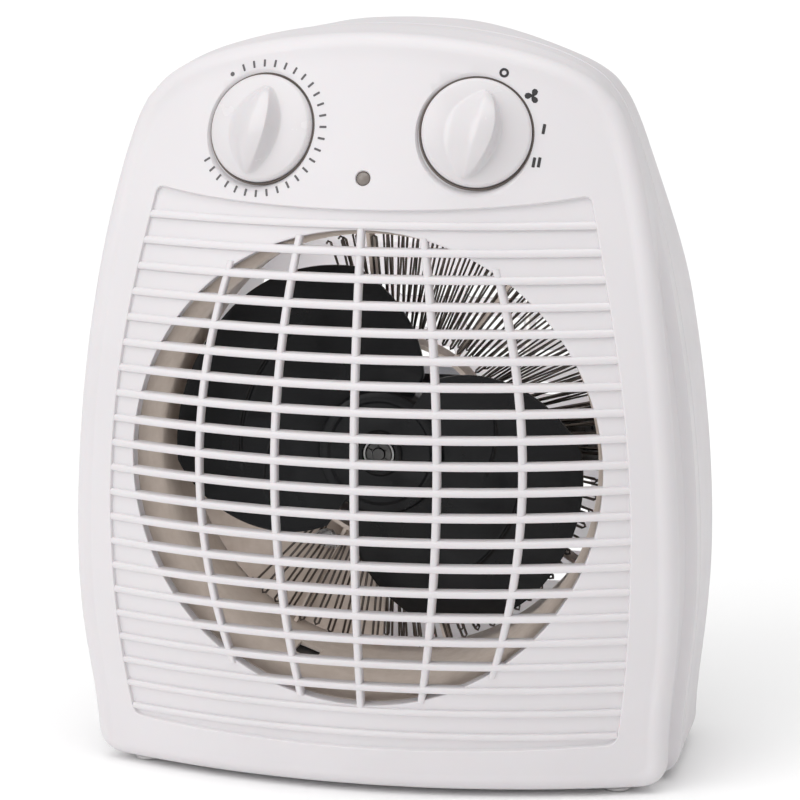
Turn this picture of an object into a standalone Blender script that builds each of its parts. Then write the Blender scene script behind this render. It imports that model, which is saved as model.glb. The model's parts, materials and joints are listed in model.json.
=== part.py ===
"""Upright fan convector heater, modelled as the separate pieces that it comes apart into.

Blender 4.5, metres, +Z up. The front faces -Y and +X is on the right as seen from the front.
The origin is on the floor under the middle of the heater. Depths are measured backwards from the
foremost point of the bowed front.
"""

import math

import bmesh
import bpy
from mathutils import Matrix, Vector
from mathutils.geometry import interpolate_bezier

MM = 0.001
GAP = 0.3 * MM
OVERRUN = 1.0 * MM

# Driving dimensions of the housing
BODY_DEPTH = 120 * MM
SHELL_WALL = 2.2 * MM
SEAM_DEPTH = 62 * MM
RIDGE_DEPTH = 52 * MM
SCOOP_DEPTH = 4.5 * MM
FRONT_ROUNDING = 6 * MM
REAR_ROUNDING = 24 * MM
REAR_NARROWING = 0.15
BACK_MIDDLE = 60 * MM
SHOULDER_TAPER = 3 * MM
HOUSING_BOTTOM = 1.8 * MM

# The bowed front: an arch from side to side and another from top to bottom, straight past its flats
APEX_HEIGHT = 107 * MM
FACE_RADIUS_X = 193 * MM
FACE_RADIUS_Z = 289 * MM
BOW_TOP = 88 * MM
BOW_BOTTOM = 70 * MM
LOWER_FLATTENING = 2.0

# Round grille
OPENING_HEIGHT = 111.3 * MM
OPENING_RADIUS = 79 * MM
RIM_DEPTH = 5.2 * MM
RIM_DRAFT = 0.5 * MM
BAR_PITCH = 8.5 * MM
BAR_COUNT = 18
BAR_HEIGHT = 2.6 * MM
BAR_DEPTH = 4.2 * MM
UPRIGHTS = 5
UPRIGHT_SPACING = 27 * MM
UPRIGHT_WIDTH = 2.4 * MM
UPRIGHT_BULGE = 41.0

# Controls
KNOB_SPREAD = 35.7 * MM
KNOB_HEIGHT = 221.4 * MM
KNOB_RADIUS = 17.75 * MM
WELL_RADIUS = 18.6 * MM
WELL_DEPTH = 1.4 * MM
WELL_BACK = 4.2 * MM
SPINDLE_RADIUS = 3 * MM
LAMP_HEIGHT = 206.7 * MM
LAMP_RADIUS = 2.3 * MM

# Fan, motor and element, as depths from the foremost point of the front
FAN_RADIUS = 70.5 * MM
FAN_HUB_RADIUS = 21.5 * MM
FAN_HUB_FRONT = 40 * MM
FAN_HUB_LENGTH = 16 * MM
SHAFT_RADIUS = 2 * MM
BEARING_CLEARANCE = 0.08 * MM
DUCT_RADIUS = 75 * MM
DUCT_MOUTH = 78.4 * MM
DUCT_THROAT = 34.5 * MM
DUCT_WALL = 1.2 * MM
DUCT_BACK = 75 * MM
BRIDGE_DEPTH = 75.4 * MM
STATOR_FRONT = 83 * MM
STATOR_THICKNESS = 14 * MM
MOTOR_SCREW_SPREAD = 20 * MM

FRONT_Y = -BODY_DEPTH / 2
SIDE_POINTS = (5, 6, 4, 2)


def depth_y(depth):
    """World y of a depth behind the foremost point of the front."""
    return FRONT_Y + depth


def smooth(value):
    value = min(max(value, 0.0), 1.0)
    return value * value * (3 - 2 * value)


def face_y(x, z):
    """World y of the bowed front at a point of its outline."""
    up = z - APEX_HEIGHT
    bowed = min(max(up, -BOW_BOTTOM), BOW_TOP)
    rise = bowed * bowed / (2 * FACE_RADIUS_Z) + (up - bowed) * bowed / FACE_RADIUS_Z
    arch = x * x / (2 * FACE_RADIUS_X) * (1 + LOWER_FLATTENING * min(up, 0.0))
    return FRONT_Y + rise + arch


def face_normal(x, z):
    """Outward unit normal of the bowed front."""
    step = 0.1 * MM
    slope_x = (face_y(x + step, z) - face_y(x - step, z)) / (2 * step)
    slope_z = (face_y(x, z + step) - face_y(x, z - step)) / (2 * step)
    return Vector((slope_x, -1, slope_z)).normalized()


def face_frame(x, z):
    """Placement on the front: local +Z outwards, local +Y up along the surface."""
    out = face_normal(x, z)
    right = Vector((0, 0, 1)).cross(out).normalized()
    up = out.cross(right)
    turn = Matrix((right, up, out)).transposed().to_4x4()
    return Matrix.Translation((x, face_y(x, z), z)) @ turn


def facing_front(depth, x=0.0, z=OPENING_HEIGHT):
    """Placement with local +Z towards the front and local +Y up, at a depth."""
    return Matrix.Translation((x, depth_y(depth), z)) @ Matrix.Rotation(math.radians(90), 4, "X")


# Scene and materials

def clear_scene():
    for old in list(bpy.data.objects):
        bpy.data.objects.remove(old, do_unlink=True)


clear_scene()
PARTS = bpy.data.collections.new("fan_convector_heater")
CUTTERS = bpy.data.collections.new("cutters")
bpy.context.scene.collection.children.link(PARTS)
bpy.context.scene.collection.children.link(CUTTERS)


def material(name, color, roughness, metallic=0.0):
    made = bpy.data.materials.new(name)
    made.use_nodes = True
    shader = made.node_tree.nodes["Principled BSDF"]
    shader.inputs["Base Color"].default_value = (*color, 1)
    shader.inputs["Roughness"].default_value = roughness
    shader.inputs["Metallic"].default_value = metallic
    return made


WHITE_PLASTIC = material("white_plastic", (0.82, 0.80, 0.81), 0.35)
BLACK_PLASTIC = material("black_plastic", (0.012, 0.013, 0.014), 0.25)
DARK_PLASTIC = material("dark_plastic", (0.05, 0.05, 0.05), 0.5)
RUBBER = material("rubber", (0.04, 0.04, 0.04), 0.8)
PALE_RUBBER = material("pale_rubber", (0.62, 0.60, 0.60), 0.7)
LAMP_AMBER = material("lamp_amber", (0.20, 0.15, 0.12), 0.2)
MICA = material("mica", (0.55, 0.45, 0.38), 0.6)
RESISTANCE_WIRE = material("resistance_wire", (0.45, 0.43, 0.41), 0.4, 1.0)
STEEL = material("steel", (0.55, 0.56, 0.57), 0.3, 1.0)
LAMINATION = material("lamination", (0.22, 0.23, 0.25), 0.5, 0.9)
COPPER = material("copper", (0.60, 0.25, 0.12), 0.35, 1.0)
BRASS = material("brass", (0.70, 0.52, 0.25), 0.3, 1.0)
CERAMIC = material("ceramic", (0.80, 0.76, 0.68), 0.6)
LEAD_INSULATION = material("lead_insulation", (0.75, 0.74, 0.72), 0.5)


# Modelling helpers

def add_object(name, mesh, finish, placement=Matrix(), parent=None):
    made = bpy.data.objects.new(name, mesh)
    PARTS.objects.link(made)
    if finish is not None:
        mesh.materials.append(finish)
    made.matrix_world = placement
    if parent is not None:
        made.parent = parent
        made.matrix_parent_inverse = parent.matrix_world.inverted()
    return made


def as_cutter(made):
    """Makes an object a helper that only shapes others."""
    PARTS.objects.unlink(made)
    CUTTERS.objects.link(made)
    made.hide_render = True
    made.hide_viewport = True
    made.display_type = "WIRE"
    return made


def shade(made, angle=40):
    made.data.shade_smooth()
    made.data.set_sharp_from_angle(angle=math.radians(angle))


def mesh_from(name, build):
    """A mesh filled by a function that gets an empty bmesh."""
    mesh = bpy.data.meshes.new(name)
    body = bmesh.new()
    build(body)
    bmesh.ops.recalc_face_normals(body, faces=body.faces)
    body.to_mesh(mesh)
    body.free()
    return mesh


def add_box(body, centre, size):
    place = Matrix.Translation(centre) @ Matrix.Diagonal((*size, 1))
    bmesh.ops.create_cube(body, size=1, matrix=place)


def add_cylinder(body, radius, bottom, top, x=0.0, y=0.0, steps=24):
    """An upright cylinder of the local frame between two heights."""
    place = Matrix.Translation((x, y, (bottom + top) / 2))
    bmesh.ops.create_cone(body, cap_ends=True, segments=steps, radius1=radius, radius2=radius,
                          depth=top - bottom, matrix=place)


def block(name, centre, size, finish, placement=Matrix(), parent=None, bevel=0.0):
    mesh = mesh_from(name, lambda body: add_box(body, centre, size))
    made = add_object(name, mesh, finish, placement, parent)
    if bevel:
        edge = made.modifiers.new("edges", "BEVEL")
        edge.width = bevel
        edge.segments = 1
    return made


def turned(name, profile, finish, placement=Matrix(), parent=None, steps=24, ring=False):
    """A turned piece: the profile is (radius, height) pairs that run down its outer side."""
    mesh = bpy.data.meshes.new(name)
    points = [(radius, 0, height) for radius, height in profile]
    edges = [(index, index + 1) for index in range(len(points) - 1)]
    if ring:
        edges.append((len(points) - 1, 0))
    mesh.from_pydata(points, edges, [])
    made = add_object(name, mesh, finish, placement, parent)
    screw = made.modifiers.new("turn", "SCREW")
    screw.axis = "Z"
    screw.steps = steps
    screw.render_steps = steps
    screw.use_merge_vertices = True
    screw.merge_threshold = 0.00001
    screw.use_smooth_shade = True
    return made


def applied(made):
    """Replaces an object's mesh by its evaluated one and drops its modifiers."""
    bpy.context.view_layer.update()
    graph = bpy.context.evaluated_depsgraph_get()
    mesh = bpy.data.meshes.new_from_object(made.evaluated_get(graph))
    made.modifiers.clear()
    made.data = mesh
    return made


def tube(name, points, radius, finish, resolution=1, parent=None):
    """A round wire or lead through the points."""
    curve = bpy.data.curves.new(name, "CURVE")
    curve.dimensions = "3D"
    curve.bevel_depth = radius
    curve.bevel_resolution = resolution
    curve.use_fill_caps = True
    spline = curve.splines.new("POLY")
    spline.points.add(len(points) - 1)
    for knot, point in zip(spline.points, points):
        knot.co = (*point, 1)
    curve.materials.append(finish)
    made = bpy.data.objects.new(name, curve)
    PARTS.objects.link(made)
    if parent is not None:
        made.parent = parent
    return made


def plate(name, outline, bottom, top, finish, placement=Matrix(), parent=None):
    """A flat outline of the local XY plane with a thickness between two heights."""
    curve = bpy.data.curves.new(name, "CURVE")
    curve.dimensions = "2D"
    curve.fill_mode = "BOTH"
    curve.extrude = (top - bottom) / 2
    for loop in outline:
        spline = curve.splines.new("POLY")
        spline.points.add(len(loop) - 1)
        spline.use_cyclic_u = True
        for knot, point in zip(spline.points, loop):
            knot.co = (*point, 0, 1)
    made = bpy.data.objects.new(name, curve)
    PARTS.objects.link(made)
    bpy.context.view_layer.update()
    graph = bpy.context.evaluated_depsgraph_get()
    mesh = bpy.data.meshes.new_from_object(made.evaluated_get(graph))
    bpy.data.objects.remove(made, do_unlink=True)
    body = bmesh.new()
    body.from_mesh(mesh)
    bmesh.ops.remove_doubles(body, verts=body.verts, dist=0.00001)
    bmesh.ops.translate(body, verts=body.verts, vec=(0, 0, (top + bottom) / 2))
    bmesh.ops.recalc_face_normals(body, faces=body.faces)
    body.to_mesh(mesh)
    body.free()
    return add_object(name, mesh, finish, placement, parent)


def circle(radius, x=0.0, y=0.0, steps=24):
    return [(x + radius * math.cos(2 * math.pi * i / steps), y + radius * math.sin(2 * math.pi * i / steps))
            for i in range(steps)]


def rectangle(width, height, x=0.0, y=0.0):
    return [(x - width / 2, y - height / 2), (x + width / 2, y - height / 2),
            (x + width / 2, y + height / 2), (x - width / 2, y + height / 2)]


def boolean(target, cutter, operation="DIFFERENCE"):
    cut = target.modifiers.new(cutter.name, "BOOLEAN")
    cut.operation = operation
    cut.object = cutter
    return cut


def cutter_from(name, build, placement=Matrix()):
    return as_cutter(add_object(name, mesh_from(name, build), None, placement))


def round_cutter(name, radius, half_length, placement, steps):
    def build(body):
        add_cylinder(body, radius, -half_length, half_length, steps=steps)
    return cutter_from(name, build, placement)


def loft(name, rings, finish, closed=False):
    """A skin through rings of equally many points. It closes on itself, or its end rings are capped."""
    count = len(rings[0])
    faces = []
    for first in range(len(rings) if closed else len(rings) - 1):
        second = (first + 1) % len(rings)
        for i in range(count):
            j = (i + 1) % count
            faces.append((first * count + i, first * count + j, second * count + j, second * count + i))
    if not closed:
        faces.append(tuple(range(count)))
        faces.append(tuple(range((len(rings) - 1) * count, len(rings) * count)))
    mesh = bpy.data.meshes.new(name)
    mesh.from_pydata([point for ring in rings for point in ring], [], faces)
    body = bmesh.new()
    body.from_mesh(mesh)
    bmesh.ops.recalc_face_normals(body, faces=body.faces)
    body.to_mesh(mesh)
    body.free()
    return add_object(name, mesh, finish)


# Housing outlines, drawn from the top centre down the right side to the bottom centre

FRONT_OUTLINE = (
    ((0, 252.5), (23.5, 252.5), (65.9, 247.4), (76.8, 231.7)),
    ((76.8, 231.7), (89.2, 223.7), (102.9, 131), (102.9, 70.9)),
    ((102.9, 70.9), (102.9, 42), (99.2, 34), (99.2, 11)),
    ((99.2, 11), (98.7, 5), (95, 1.8), (89, 1.8)),
)
BODY_OUTLINE = (
    ((0, 253.7), (39, 253.7), (68.2, 244.2), (74.9, 233.4)),
    ((74.9, 233.4), (86.2, 221.8), (106.2, 143), (106.2, 74)),
    ((106.2, 74), (106.2, 47), (101.7, 25.5), (101.7, 10)),
    ((101.7, 10), (101.2, 4.5), (96.7, 1.8), (91.7, 1.8)),
)
BOTTOM_POINTS = 3


def outline(arcs):
    """The closed outline as (x, z) points in metres, clockwise as seen from the front."""
    right = []
    for arc, count in zip(arcs, SIDE_POINTS):
        knots = [Vector((x, z, 0)) * MM for x, z in arc]
        points = interpolate_bezier(knots[0], knots[1], knots[2], knots[3], count + 1)
        right += [(point.x, point.y) for point in points[:-1]]
    last_x, last_z = arcs[-1][-1][0] * MM, arcs[-1][-1][1] * MM
    right += [(last_x * (1 - i / BOTTOM_POINTS), last_z) for i in range(BOTTOM_POINTS + 1)]
    left = [(-x, z) for x, z in reversed(right[1:-1])]
    return right + left


def inset(loop, distances):
    """The loop moved inwards, by one distance for each of its points."""
    moved = []
    for i, (x, z) in enumerate(loop):
        before, after = loop[i - 1], loop[(i + 1) % len(loop)]
        along = Vector((after[0] - before[0], after[1] - before[1])).normalized()
        moved.append((x + along.y * distances[i], z - along.x * distances[i]))
    return moved


def same(loop, distance):
    return inset(loop, [distance] * len(loop))


def scaled(loop, size):
    """The loop drawn smaller about the middle of the back."""
    return [(x * size, BACK_MIDDLE + (z - BACK_MIDDLE) * size) for x, z in loop]


def blend(first, second, share):
    return [(a[0] + (b[0] - a[0]) * share, a[1] + (b[1] - a[1]) * share) for a, b in zip(first, second)]


FRONT_LOOP = outline(FRONT_OUTLINE)
BODY_LOOP = outline(BODY_OUTLINE)


def opening_loop(radius):
    """A circle with one point in the direction of each point of the outline."""
    loop = []
    for x, z in FRONT_LOOP:
        angle = math.atan2(z - OPENING_HEIGHT, x)
        loop.append((radius * math.cos(angle), OPENING_HEIGHT + radius * math.sin(angle)))
    return loop


def on_face(loop, behind=0.0):
    return [(x, face_y(x, z) + behind, z) for x, z in loop]


def at_depth(loop, depth):
    return [(x, depth_y(depth), z) for x, z in loop]


def scoop_depths():
    """How far the sides are scooped in behind the bezel: nothing at the top and bottom."""
    depths = []
    for x, z in FRONT_LOOP:
        below_shoulder = smooth((212 * MM - z) / (60 * MM))
        beside = smooth((abs(x) - 88 * MM) / (8 * MM))
        depths.append(SCOOP_DEPTH * below_shoulder * beside)
    return depths


def front_shell():
    """Front moulding: bowed face, rounded bezel, scooped sides, rim of the grille and the grille."""
    scoop = scoop_depths()
    edge = same(FRONT_LOOP, FRONT_ROUNDING)
    edge_y = [face_y(x, z) for x, z in edge]
    hole = opening_loop(OPENING_RADIUS)
    inner_edge = same(FRONT_LOOP, FRONT_ROUNDING + 0.6 * SHELL_WALL)
    inner_hole = opening_loop(OPENING_RADIUS + SHELL_WALL)

    def behind_edge(loop, behind):
        return [(x, y + behind, z) for (x, z), y in zip(loop, edge_y)]

    rings = [on_face(hole)]
    rings += [on_face(blend(hole, edge, share)) for share in (0.5, 1)]
    for angle in (60, 30, 0):
        turn = math.radians(angle)
        sunk = FRONT_ROUNDING * (1 - math.sin(turn))
        rings.append(behind_edge(same(FRONT_LOOP, FRONT_ROUNDING * (1 - math.cos(turn))), sunk))
    rings.append(behind_edge(inset(FRONT_LOOP, scoop), FRONT_ROUNDING + 1.6 * MM))
    rings.append(at_depth(inset(BODY_LOOP, [0.8 * cut for cut in scoop]), RIDGE_DEPTH - 2 * MM))
    rings.append(at_depth(BODY_LOOP, RIDGE_DEPTH))
    rings.append(at_depth(BODY_LOOP, SEAM_DEPTH))
    rings.append(at_depth(same(BODY_LOOP, SHELL_WALL), SEAM_DEPTH))
    inner_side = [SHELL_WALL + cut for cut in scoop]
    rings.append(at_depth(inset(BODY_LOOP, inner_side), RIDGE_DEPTH - 1 * MM))
    rings.append(behind_edge(inset(FRONT_LOOP, inner_side), FRONT_ROUNDING + 1.6 * MM))
    rings.append(behind_edge(inner_edge, SHELL_WALL + 0.4 * MM))
    rings += [on_face(blend(inner_edge, inner_hole, share), SHELL_WALL) for share in (0.5, 1)]
    rings.append(on_face(inner_hole, RIM_DEPTH))
    rings.append(on_face(opening_loop(OPENING_RADIUS - RIM_DRAFT), RIM_DEPTH))
    shell = loft("front_shell", rings, WHITE_PLASTIC, closed=True)

    boolean(shell, grille_lattice(), "UNION")
    boolean(shell, front_bosses(), "UNION")
    boolean(shell, front_bores())
    return shell


def upright_x(index, z):
    """Centre line of an upright bar: the bars lean together towards the top and bottom."""
    away = z - OPENING_HEIGHT
    return (index - (UPRIGHTS - 1) / 2) * UPRIGHT_SPACING * (1 - UPRIGHT_BULGE * away * away)


def grille_lattice():
    """Bars across the opening: level ones at an even pitch, and uprights that bow outwards."""
    reach = OPENING_RADIUS + 4 * MM
    heights = [OPENING_HEIGHT - reach]
    for i in range(BAR_COUNT):
        centre = OPENING_HEIGHT + (i - (BAR_COUNT - 1) / 2) * BAR_PITCH
        heights += [centre - BAR_HEIGHT / 2, centre + BAR_HEIGHT / 2]
    heights.append(OPENING_HEIGHT + reach)

    def line(z):
        xs = [-reach]
        for k in range(UPRIGHTS):
            centre = upright_x(k, z)
            xs += [centre - UPRIGHT_WIDTH / 2, centre + UPRIGHT_WIDTH / 2]
        return xs + [reach]

    def build(body):
        sink = 0.15 * MM
        grid = [[body.verts.new((x, face_y(x, z) + sink, z)) for x in line(z)] for z in heights]
        faces = []
        for row in range(len(grid) - 1):
            on_bar = row % 2 == 1
            for column in range(len(grid[0]) - 1):
                if on_bar or column % 2 == 1:
                    a, b = grid[row], grid[row + 1]
                    faces.append(body.faces.new((a[column], a[column + 1], b[column + 1], b[column])))
        bmesh.ops.delete(body, geom=[v for v in body.verts if not v.link_faces], context="VERTS")
        back = bmesh.ops.extrude_face_region(body, geom=faces, use_keep_orig=True)
        moved = [item for item in back["geom"] if isinstance(item, bmesh.types.BMVert)]
        bmesh.ops.translate(body, verts=moved, vec=(0, BAR_DEPTH, 0))

    lattice = cutter_from("grille_bars", build)
    disc = round_cutter("grille_disc", OPENING_RADIUS + SHELL_WALL / 2, BODY_DEPTH / 2, facing_front(0), 40)
    boolean(lattice, disc, "INTERSECT")
    return lattice


HOUSING_POSTS = ((-60, 197), (60, 197), (-74, 26), (74, 26))
DUCT_POST_RADIUS = 86 * MM
DUCT_POST_ANGLES = (38, 142, 218, 322)
HOUSING_WELL = 12 * MM
POST_RADIUS = 4 * MM
POST_BORE = 1.7 * MM
FEET = {
    "foot_front_left": (-82, 40), "foot_front_right": (82, 40),
    "foot_rear_left": (-80, 90), "foot_rear_right": (80, 90),
}


def post_places():
    """(x, z, depth of its end) of each screw post inside the front shell."""
    ends = [(x * MM, z * MM, BODY_DEPTH - HOUSING_WELL - 2 * SHELL_WALL - GAP) for x, z in HOUSING_POSTS]
    for angle in DUCT_POST_ANGLES:
        turn = math.radians(angle)
        ends.append((DUCT_POST_RADIUS * math.cos(turn), OPENING_HEIGHT + DUCT_POST_RADIUS * math.sin(turn),
                     DUCT_BACK - 1.2 * MM - GAP))
    return ends


def front_bosses():
    """Screw posts and the thick rings behind the knobs, as one helper solid for each."""
    def build(body):
        for x, z, end in post_places():
            lowest = max(face_y(x + side * POST_RADIUS, z + rise * POST_RADIUS)
                         for side in (-1, 1) for rise in (-1, 1))
            start = lowest - FRONT_Y + 0.4 * MM
            centre = (x, depth_y((start + end) / 2), z)
            place = Matrix.Translation(centre) @ Matrix.Rotation(math.radians(90), 4, "X")
            bmesh.ops.create_cone(body, cap_ends=True, segments=10, radius1=POST_RADIUS,
                                  radius2=POST_RADIUS, depth=end - start, matrix=place)
        for side in (-1, 1):
            place = face_frame(side * KNOB_SPREAD, KNOB_HEIGHT)
            middle = -(WELL_BACK + 0.9 * MM) / 2
            bmesh.ops.create_cone(body, cap_ends=True, segments=32, radius1=WELL_RADIUS + 1.8 * MM,
                                  radius2=WELL_RADIUS + 1.8 * MM, depth=WELL_BACK - 0.9 * MM,
                                  matrix=place @ Matrix.Translation((0, 0, middle)))
    return cutter_from("front_bosses", build)


def front_bores():
    """Screw bores, knob wells, spindle holes, lamp hole and the holes for the front feet."""
    def build(body):
        def bore(place, radius, low, high, steps):
            middle = Matrix.Translation((0, 0, (low + high) / 2))
            bmesh.ops.create_cone(body, cap_ends=True, segments=steps, radius1=radius, radius2=radius,
                                  depth=high - low, matrix=place @ middle)
        for x, z, end in post_places():
            bore(facing_front(end, x, z), POST_BORE, -OVERRUN, 14 * MM, 6)
        for side in (-1, 1):
            place = face_frame(side * KNOB_SPREAD, KNOB_HEIGHT)
            bore(place, WELL_RADIUS, -WELL_DEPTH, 4 * MM, 32)
        bore(face_frame(0, LAMP_HEIGHT), LAMP_RADIUS + GAP, -6 * MM, 2 * MM, 16)
        for x, depth in FEET.values():
            if depth * MM < SEAM_DEPTH:
                place = Matrix.Translation((x * MM, depth_y(depth * MM), HOUSING_BOTTOM))
                bore(place, 2.3 * MM, -3 * MM, 5 * MM, 10)

    def build_spindle_holes(body):
        for side in (-1, 1):
            place = face_frame(side * KNOB_SPREAD, KNOB_HEIGHT)
            bmesh.ops.create_cone(body, cap_ends=True, segments=16, radius1=SPINDLE_RADIUS + 0.8 * MM,
                                  radius2=SPINDLE_RADIUS + 0.8 * MM, depth=12 * MM, matrix=place)

    bores = cutter_from("front_bores", build)
    boolean(bores, cutter_from("spindle_holes", build_spindle_holes), "UNION")
    return bores


SLOT_ROWS = 10
SLOT_COLUMNS = 5
SLOT_HEIGHT = 4.8 * MM
SLOT_WIDTH = 21 * MM
SLOT_PITCH_X = 25 * MM
SLOT_PITCH_Z = 11.4 * MM
SLOTS_MIDDLE = 104 * MM
GRIP_WIDTH = 90 * MM
GRIP_BOTTOM = 178 * MM
GRIP_TOP = 206 * MM
GRIP_DEPTH = 26 * MM
INLET_X = -52 * MM
INLET_HEIGHT = 30 * MM
INLET_RADIUS = 5 * MM
INLET_RECESS = 1.2 * MM


def rear_shell():
    """Rear moulding: rounded tub with the air intake, the hand grip, screw wells and the cord inlet."""
    def tub(loop, rounding):
        rings = [at_depth(loop, SEAM_DEPTH + GAP)]
        taper = [SHOULDER_TAPER * smooth((z - 160 * MM) / (55 * MM)) * smooth((abs(x) - 15 * MM) / (45 * MM))
                 for x, z in loop]
        tapered = inset(loop, taper)
        for angle in (0, 30, 60, 90):
            turn = math.radians(angle)
            size = 1 - REAR_NARROWING * (1 - math.cos(turn))
            depth = BODY_DEPTH - REAR_ROUNDING + rounding * math.sin(turn)
            rings.append(at_depth(scaled(tapered, size), depth))
        return rings

    outer = tub(BODY_LOOP, REAR_ROUNDING)
    inner = tub(same(BODY_LOOP, SHELL_WALL), REAR_ROUNDING - SHELL_WALL)
    shell = loft("rear_shell", outer[::-1] + inner, WHITE_PLASTIC)
    boolean(shell, rear_bosses(), "UNION")
    boolean(shell, rear_cuts())
    return shell


def grip_box(body, margin, front, back):
    """The hand-grip pocket, wider by the margin, between two depths."""
    centre = (0, depth_y((front + back) / 2), (GRIP_BOTTOM + GRIP_TOP) / 2)
    size = (GRIP_WIDTH + 2 * margin, back - front, GRIP_TOP - GRIP_BOTTOM + 2 * margin)
    add_box(body, centre, size)


def rear_bosses():
    """The cup around the hand grip and the cups that take the housing screws."""
    def build(body):
        inside = BODY_DEPTH - SHELL_WALL / 2
        grip_box(body, SHELL_WALL, BODY_DEPTH - GRIP_DEPTH - SHELL_WALL, inside)
        for x, z in HOUSING_POSTS:
            place = facing_front(inside, x * MM, z * MM)
            length = HOUSING_WELL + SHELL_WALL / 2
            bmesh.ops.create_cone(body, cap_ends=True, segments=16, radius1=6 * MM, radius2=6 * MM,
                                  depth=length, matrix=place @ Matrix.Translation((0, 0, length / 2)))
    return cutter_from("rear_bosses", build)


def rear_cuts():
    """Air slots, the hollow of the hand grip, screw wells and holes, cord inlet, foot holes."""
    def build(body):
        grip_box(body, 0, BODY_DEPTH - GRIP_DEPTH, BODY_DEPTH + 4 * MM)
        for row in range(SLOT_ROWS):
            for column in range(SLOT_COLUMNS):
                x = (column - (SLOT_COLUMNS - 1) / 2) * SLOT_PITCH_X
                z = SLOTS_MIDDLE + (row - (SLOT_ROWS - 1) / 2) * SLOT_PITCH_Z
                add_box(body, (x, depth_y(BODY_DEPTH), z), (SLOT_WIDTH, 8 * MM, SLOT_HEIGHT))
        for x, z in HOUSING_POSTS:
            back = facing_front(BODY_DEPTH, x * MM, z * MM)
            bmesh.ops.create_cone(body, cap_ends=True, segments=16, radius1=4.2 * MM, radius2=4.2 * MM,
                                  depth=HOUSING_WELL + OVERRUN,
                                  matrix=back @ Matrix.Translation((0, 0, (HOUSING_WELL - OVERRUN) / 2)))
        inlet = facing_front(BODY_DEPTH, INLET_X, INLET_HEIGHT)
        bmesh.ops.create_cone(body, cap_ends=True, segments=16, radius1=INLET_RADIUS + 2.3 * MM,
                              radius2=INLET_RADIUS + 2.3 * MM, depth=2 * INLET_RECESS, matrix=inlet)
        for x, depth in FEET.values():
            if depth * MM > SEAM_DEPTH:
                place = Matrix.Translation((x * MM, depth_y(depth * MM), HOUSING_BOTTOM + 1 * MM))
                bmesh.ops.create_cone(body, cap_ends=True, segments=10, radius1=2.3 * MM,
                                      radius2=2.3 * MM, depth=8 * MM, matrix=place)

    def build_shank_holes(body):
        for x, z in HOUSING_POSTS:
            place = facing_front(BODY_DEPTH - HOUSING_WELL, x * MM, z * MM)
            bmesh.ops.create_cone(body, cap_ends=True, segments=10, radius1=1.8 * MM, radius2=1.8 * MM,
                                  depth=8 * MM, matrix=place)
        bmesh.ops.create_cone(body, cap_ends=True, segments=16, radius1=INLET_RADIUS,
                              radius2=INLET_RADIUS, depth=9 * MM,
                              matrix=facing_front(BODY_DEPTH, INLET_X, INLET_HEIGHT))

    cuts = cutter_from("rear_cuts", build)
    boolean(cuts, cutter_from("shank_holes", build_shank_holes), "UNION")
    return cuts


def screw_profile(length, head=3.0 * MM, shank=1.4 * MM):
    """A pan head with its top at height 0 and a shank below it."""
    return [(0, 0), (0.6 * head, 0), (head, -0.8 * MM), (head, -2 * MM), (shank, -2 * MM),
            (shank, -length + 1 * MM), (0.3 * shank, -length), (0, -length)]


def screw_into(name, x, z, head_depth, length):
    """A screw whose head shows at the back and whose shank points to the front."""
    backwards = Matrix.Rotation(math.pi, 4, "X")
    return turned(name, screw_profile(length), STEEL, facing_front(head_depth, x, z) @ backwards, steps=12)


def housing_fasteners():
    names = ("housing_screw_top_left", "housing_screw_top_right",
             "housing_screw_bottom_left", "housing_screw_bottom_right")
    for name, (x, z) in zip(names, HOUSING_POSTS):
        screw_into(name, x * MM, z * MM, BODY_DEPTH - HOUSING_WELL + 2 * MM + GAP, 15 * MM)


def feet():
    """Rubber feet whose stems push up into the housing."""
    for name, (x, depth) in FEET.items():
        top = HOUSING_BOTTOM - GAP
        profile = [(0, 4 * MM + top), (1.6 * MM, 4 * MM + top), (1.9 * MM, top), (4.2 * MM, top),
                   (4.6 * MM, 1.2 * MM), (3.8 * MM, 0), (0, 0)]
        turned(name, profile, PALE_RUBBER, Matrix.Translation((x * MM, depth_y(depth * MM), 0)), steps=14)


def pilot_lamp():
    place = face_frame(0, LAMP_HEIGHT)
    lens = [(0, 0.9 * MM), (1.2 * MM, 0.6 * MM), (LAMP_RADIUS, -0.3 * MM), (LAMP_RADIUS, -2.6 * MM),
            (3.6 * MM, -2.6 * MM), (3.6 * MM, -3.6 * MM), (0, -3.6 * MM)]
    turned("pilot_lamp_lens", lens, LAMP_AMBER, place, steps=16)
    body = [(0, -3.9 * MM), (3.4 * MM, -3.9 * MM), (3.4 * MM, -17 * MM), (0, -17 * MM)]
    turned("pilot_lamp_neon", body, CERAMIC, place, steps=12)


# Controls

def axis_empty(name, placement):
    made = bpy.data.objects.new(name, None)
    PARTS.objects.link(made)
    made.matrix_world = placement
    made.empty_display_size = 0.02
    bpy.context.view_layer.update()
    return made


def grip_outline(length, width, count=12):
    """A leaf: pointed ends and full sides, along local Y."""
    half = [(width / 2 * math.cos(math.pi / 2 * t) ** 0.8 if abs(t) < 1 else 0.4 * MM, length / 2 * t)
            for t in [2 * i / count - 1 for i in range(count + 1)]]
    ends = [(max(x, 0.8 * MM), y) for x, y in half]
    return ends + [(-x, y) for x, y in reversed(ends)]


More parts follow.
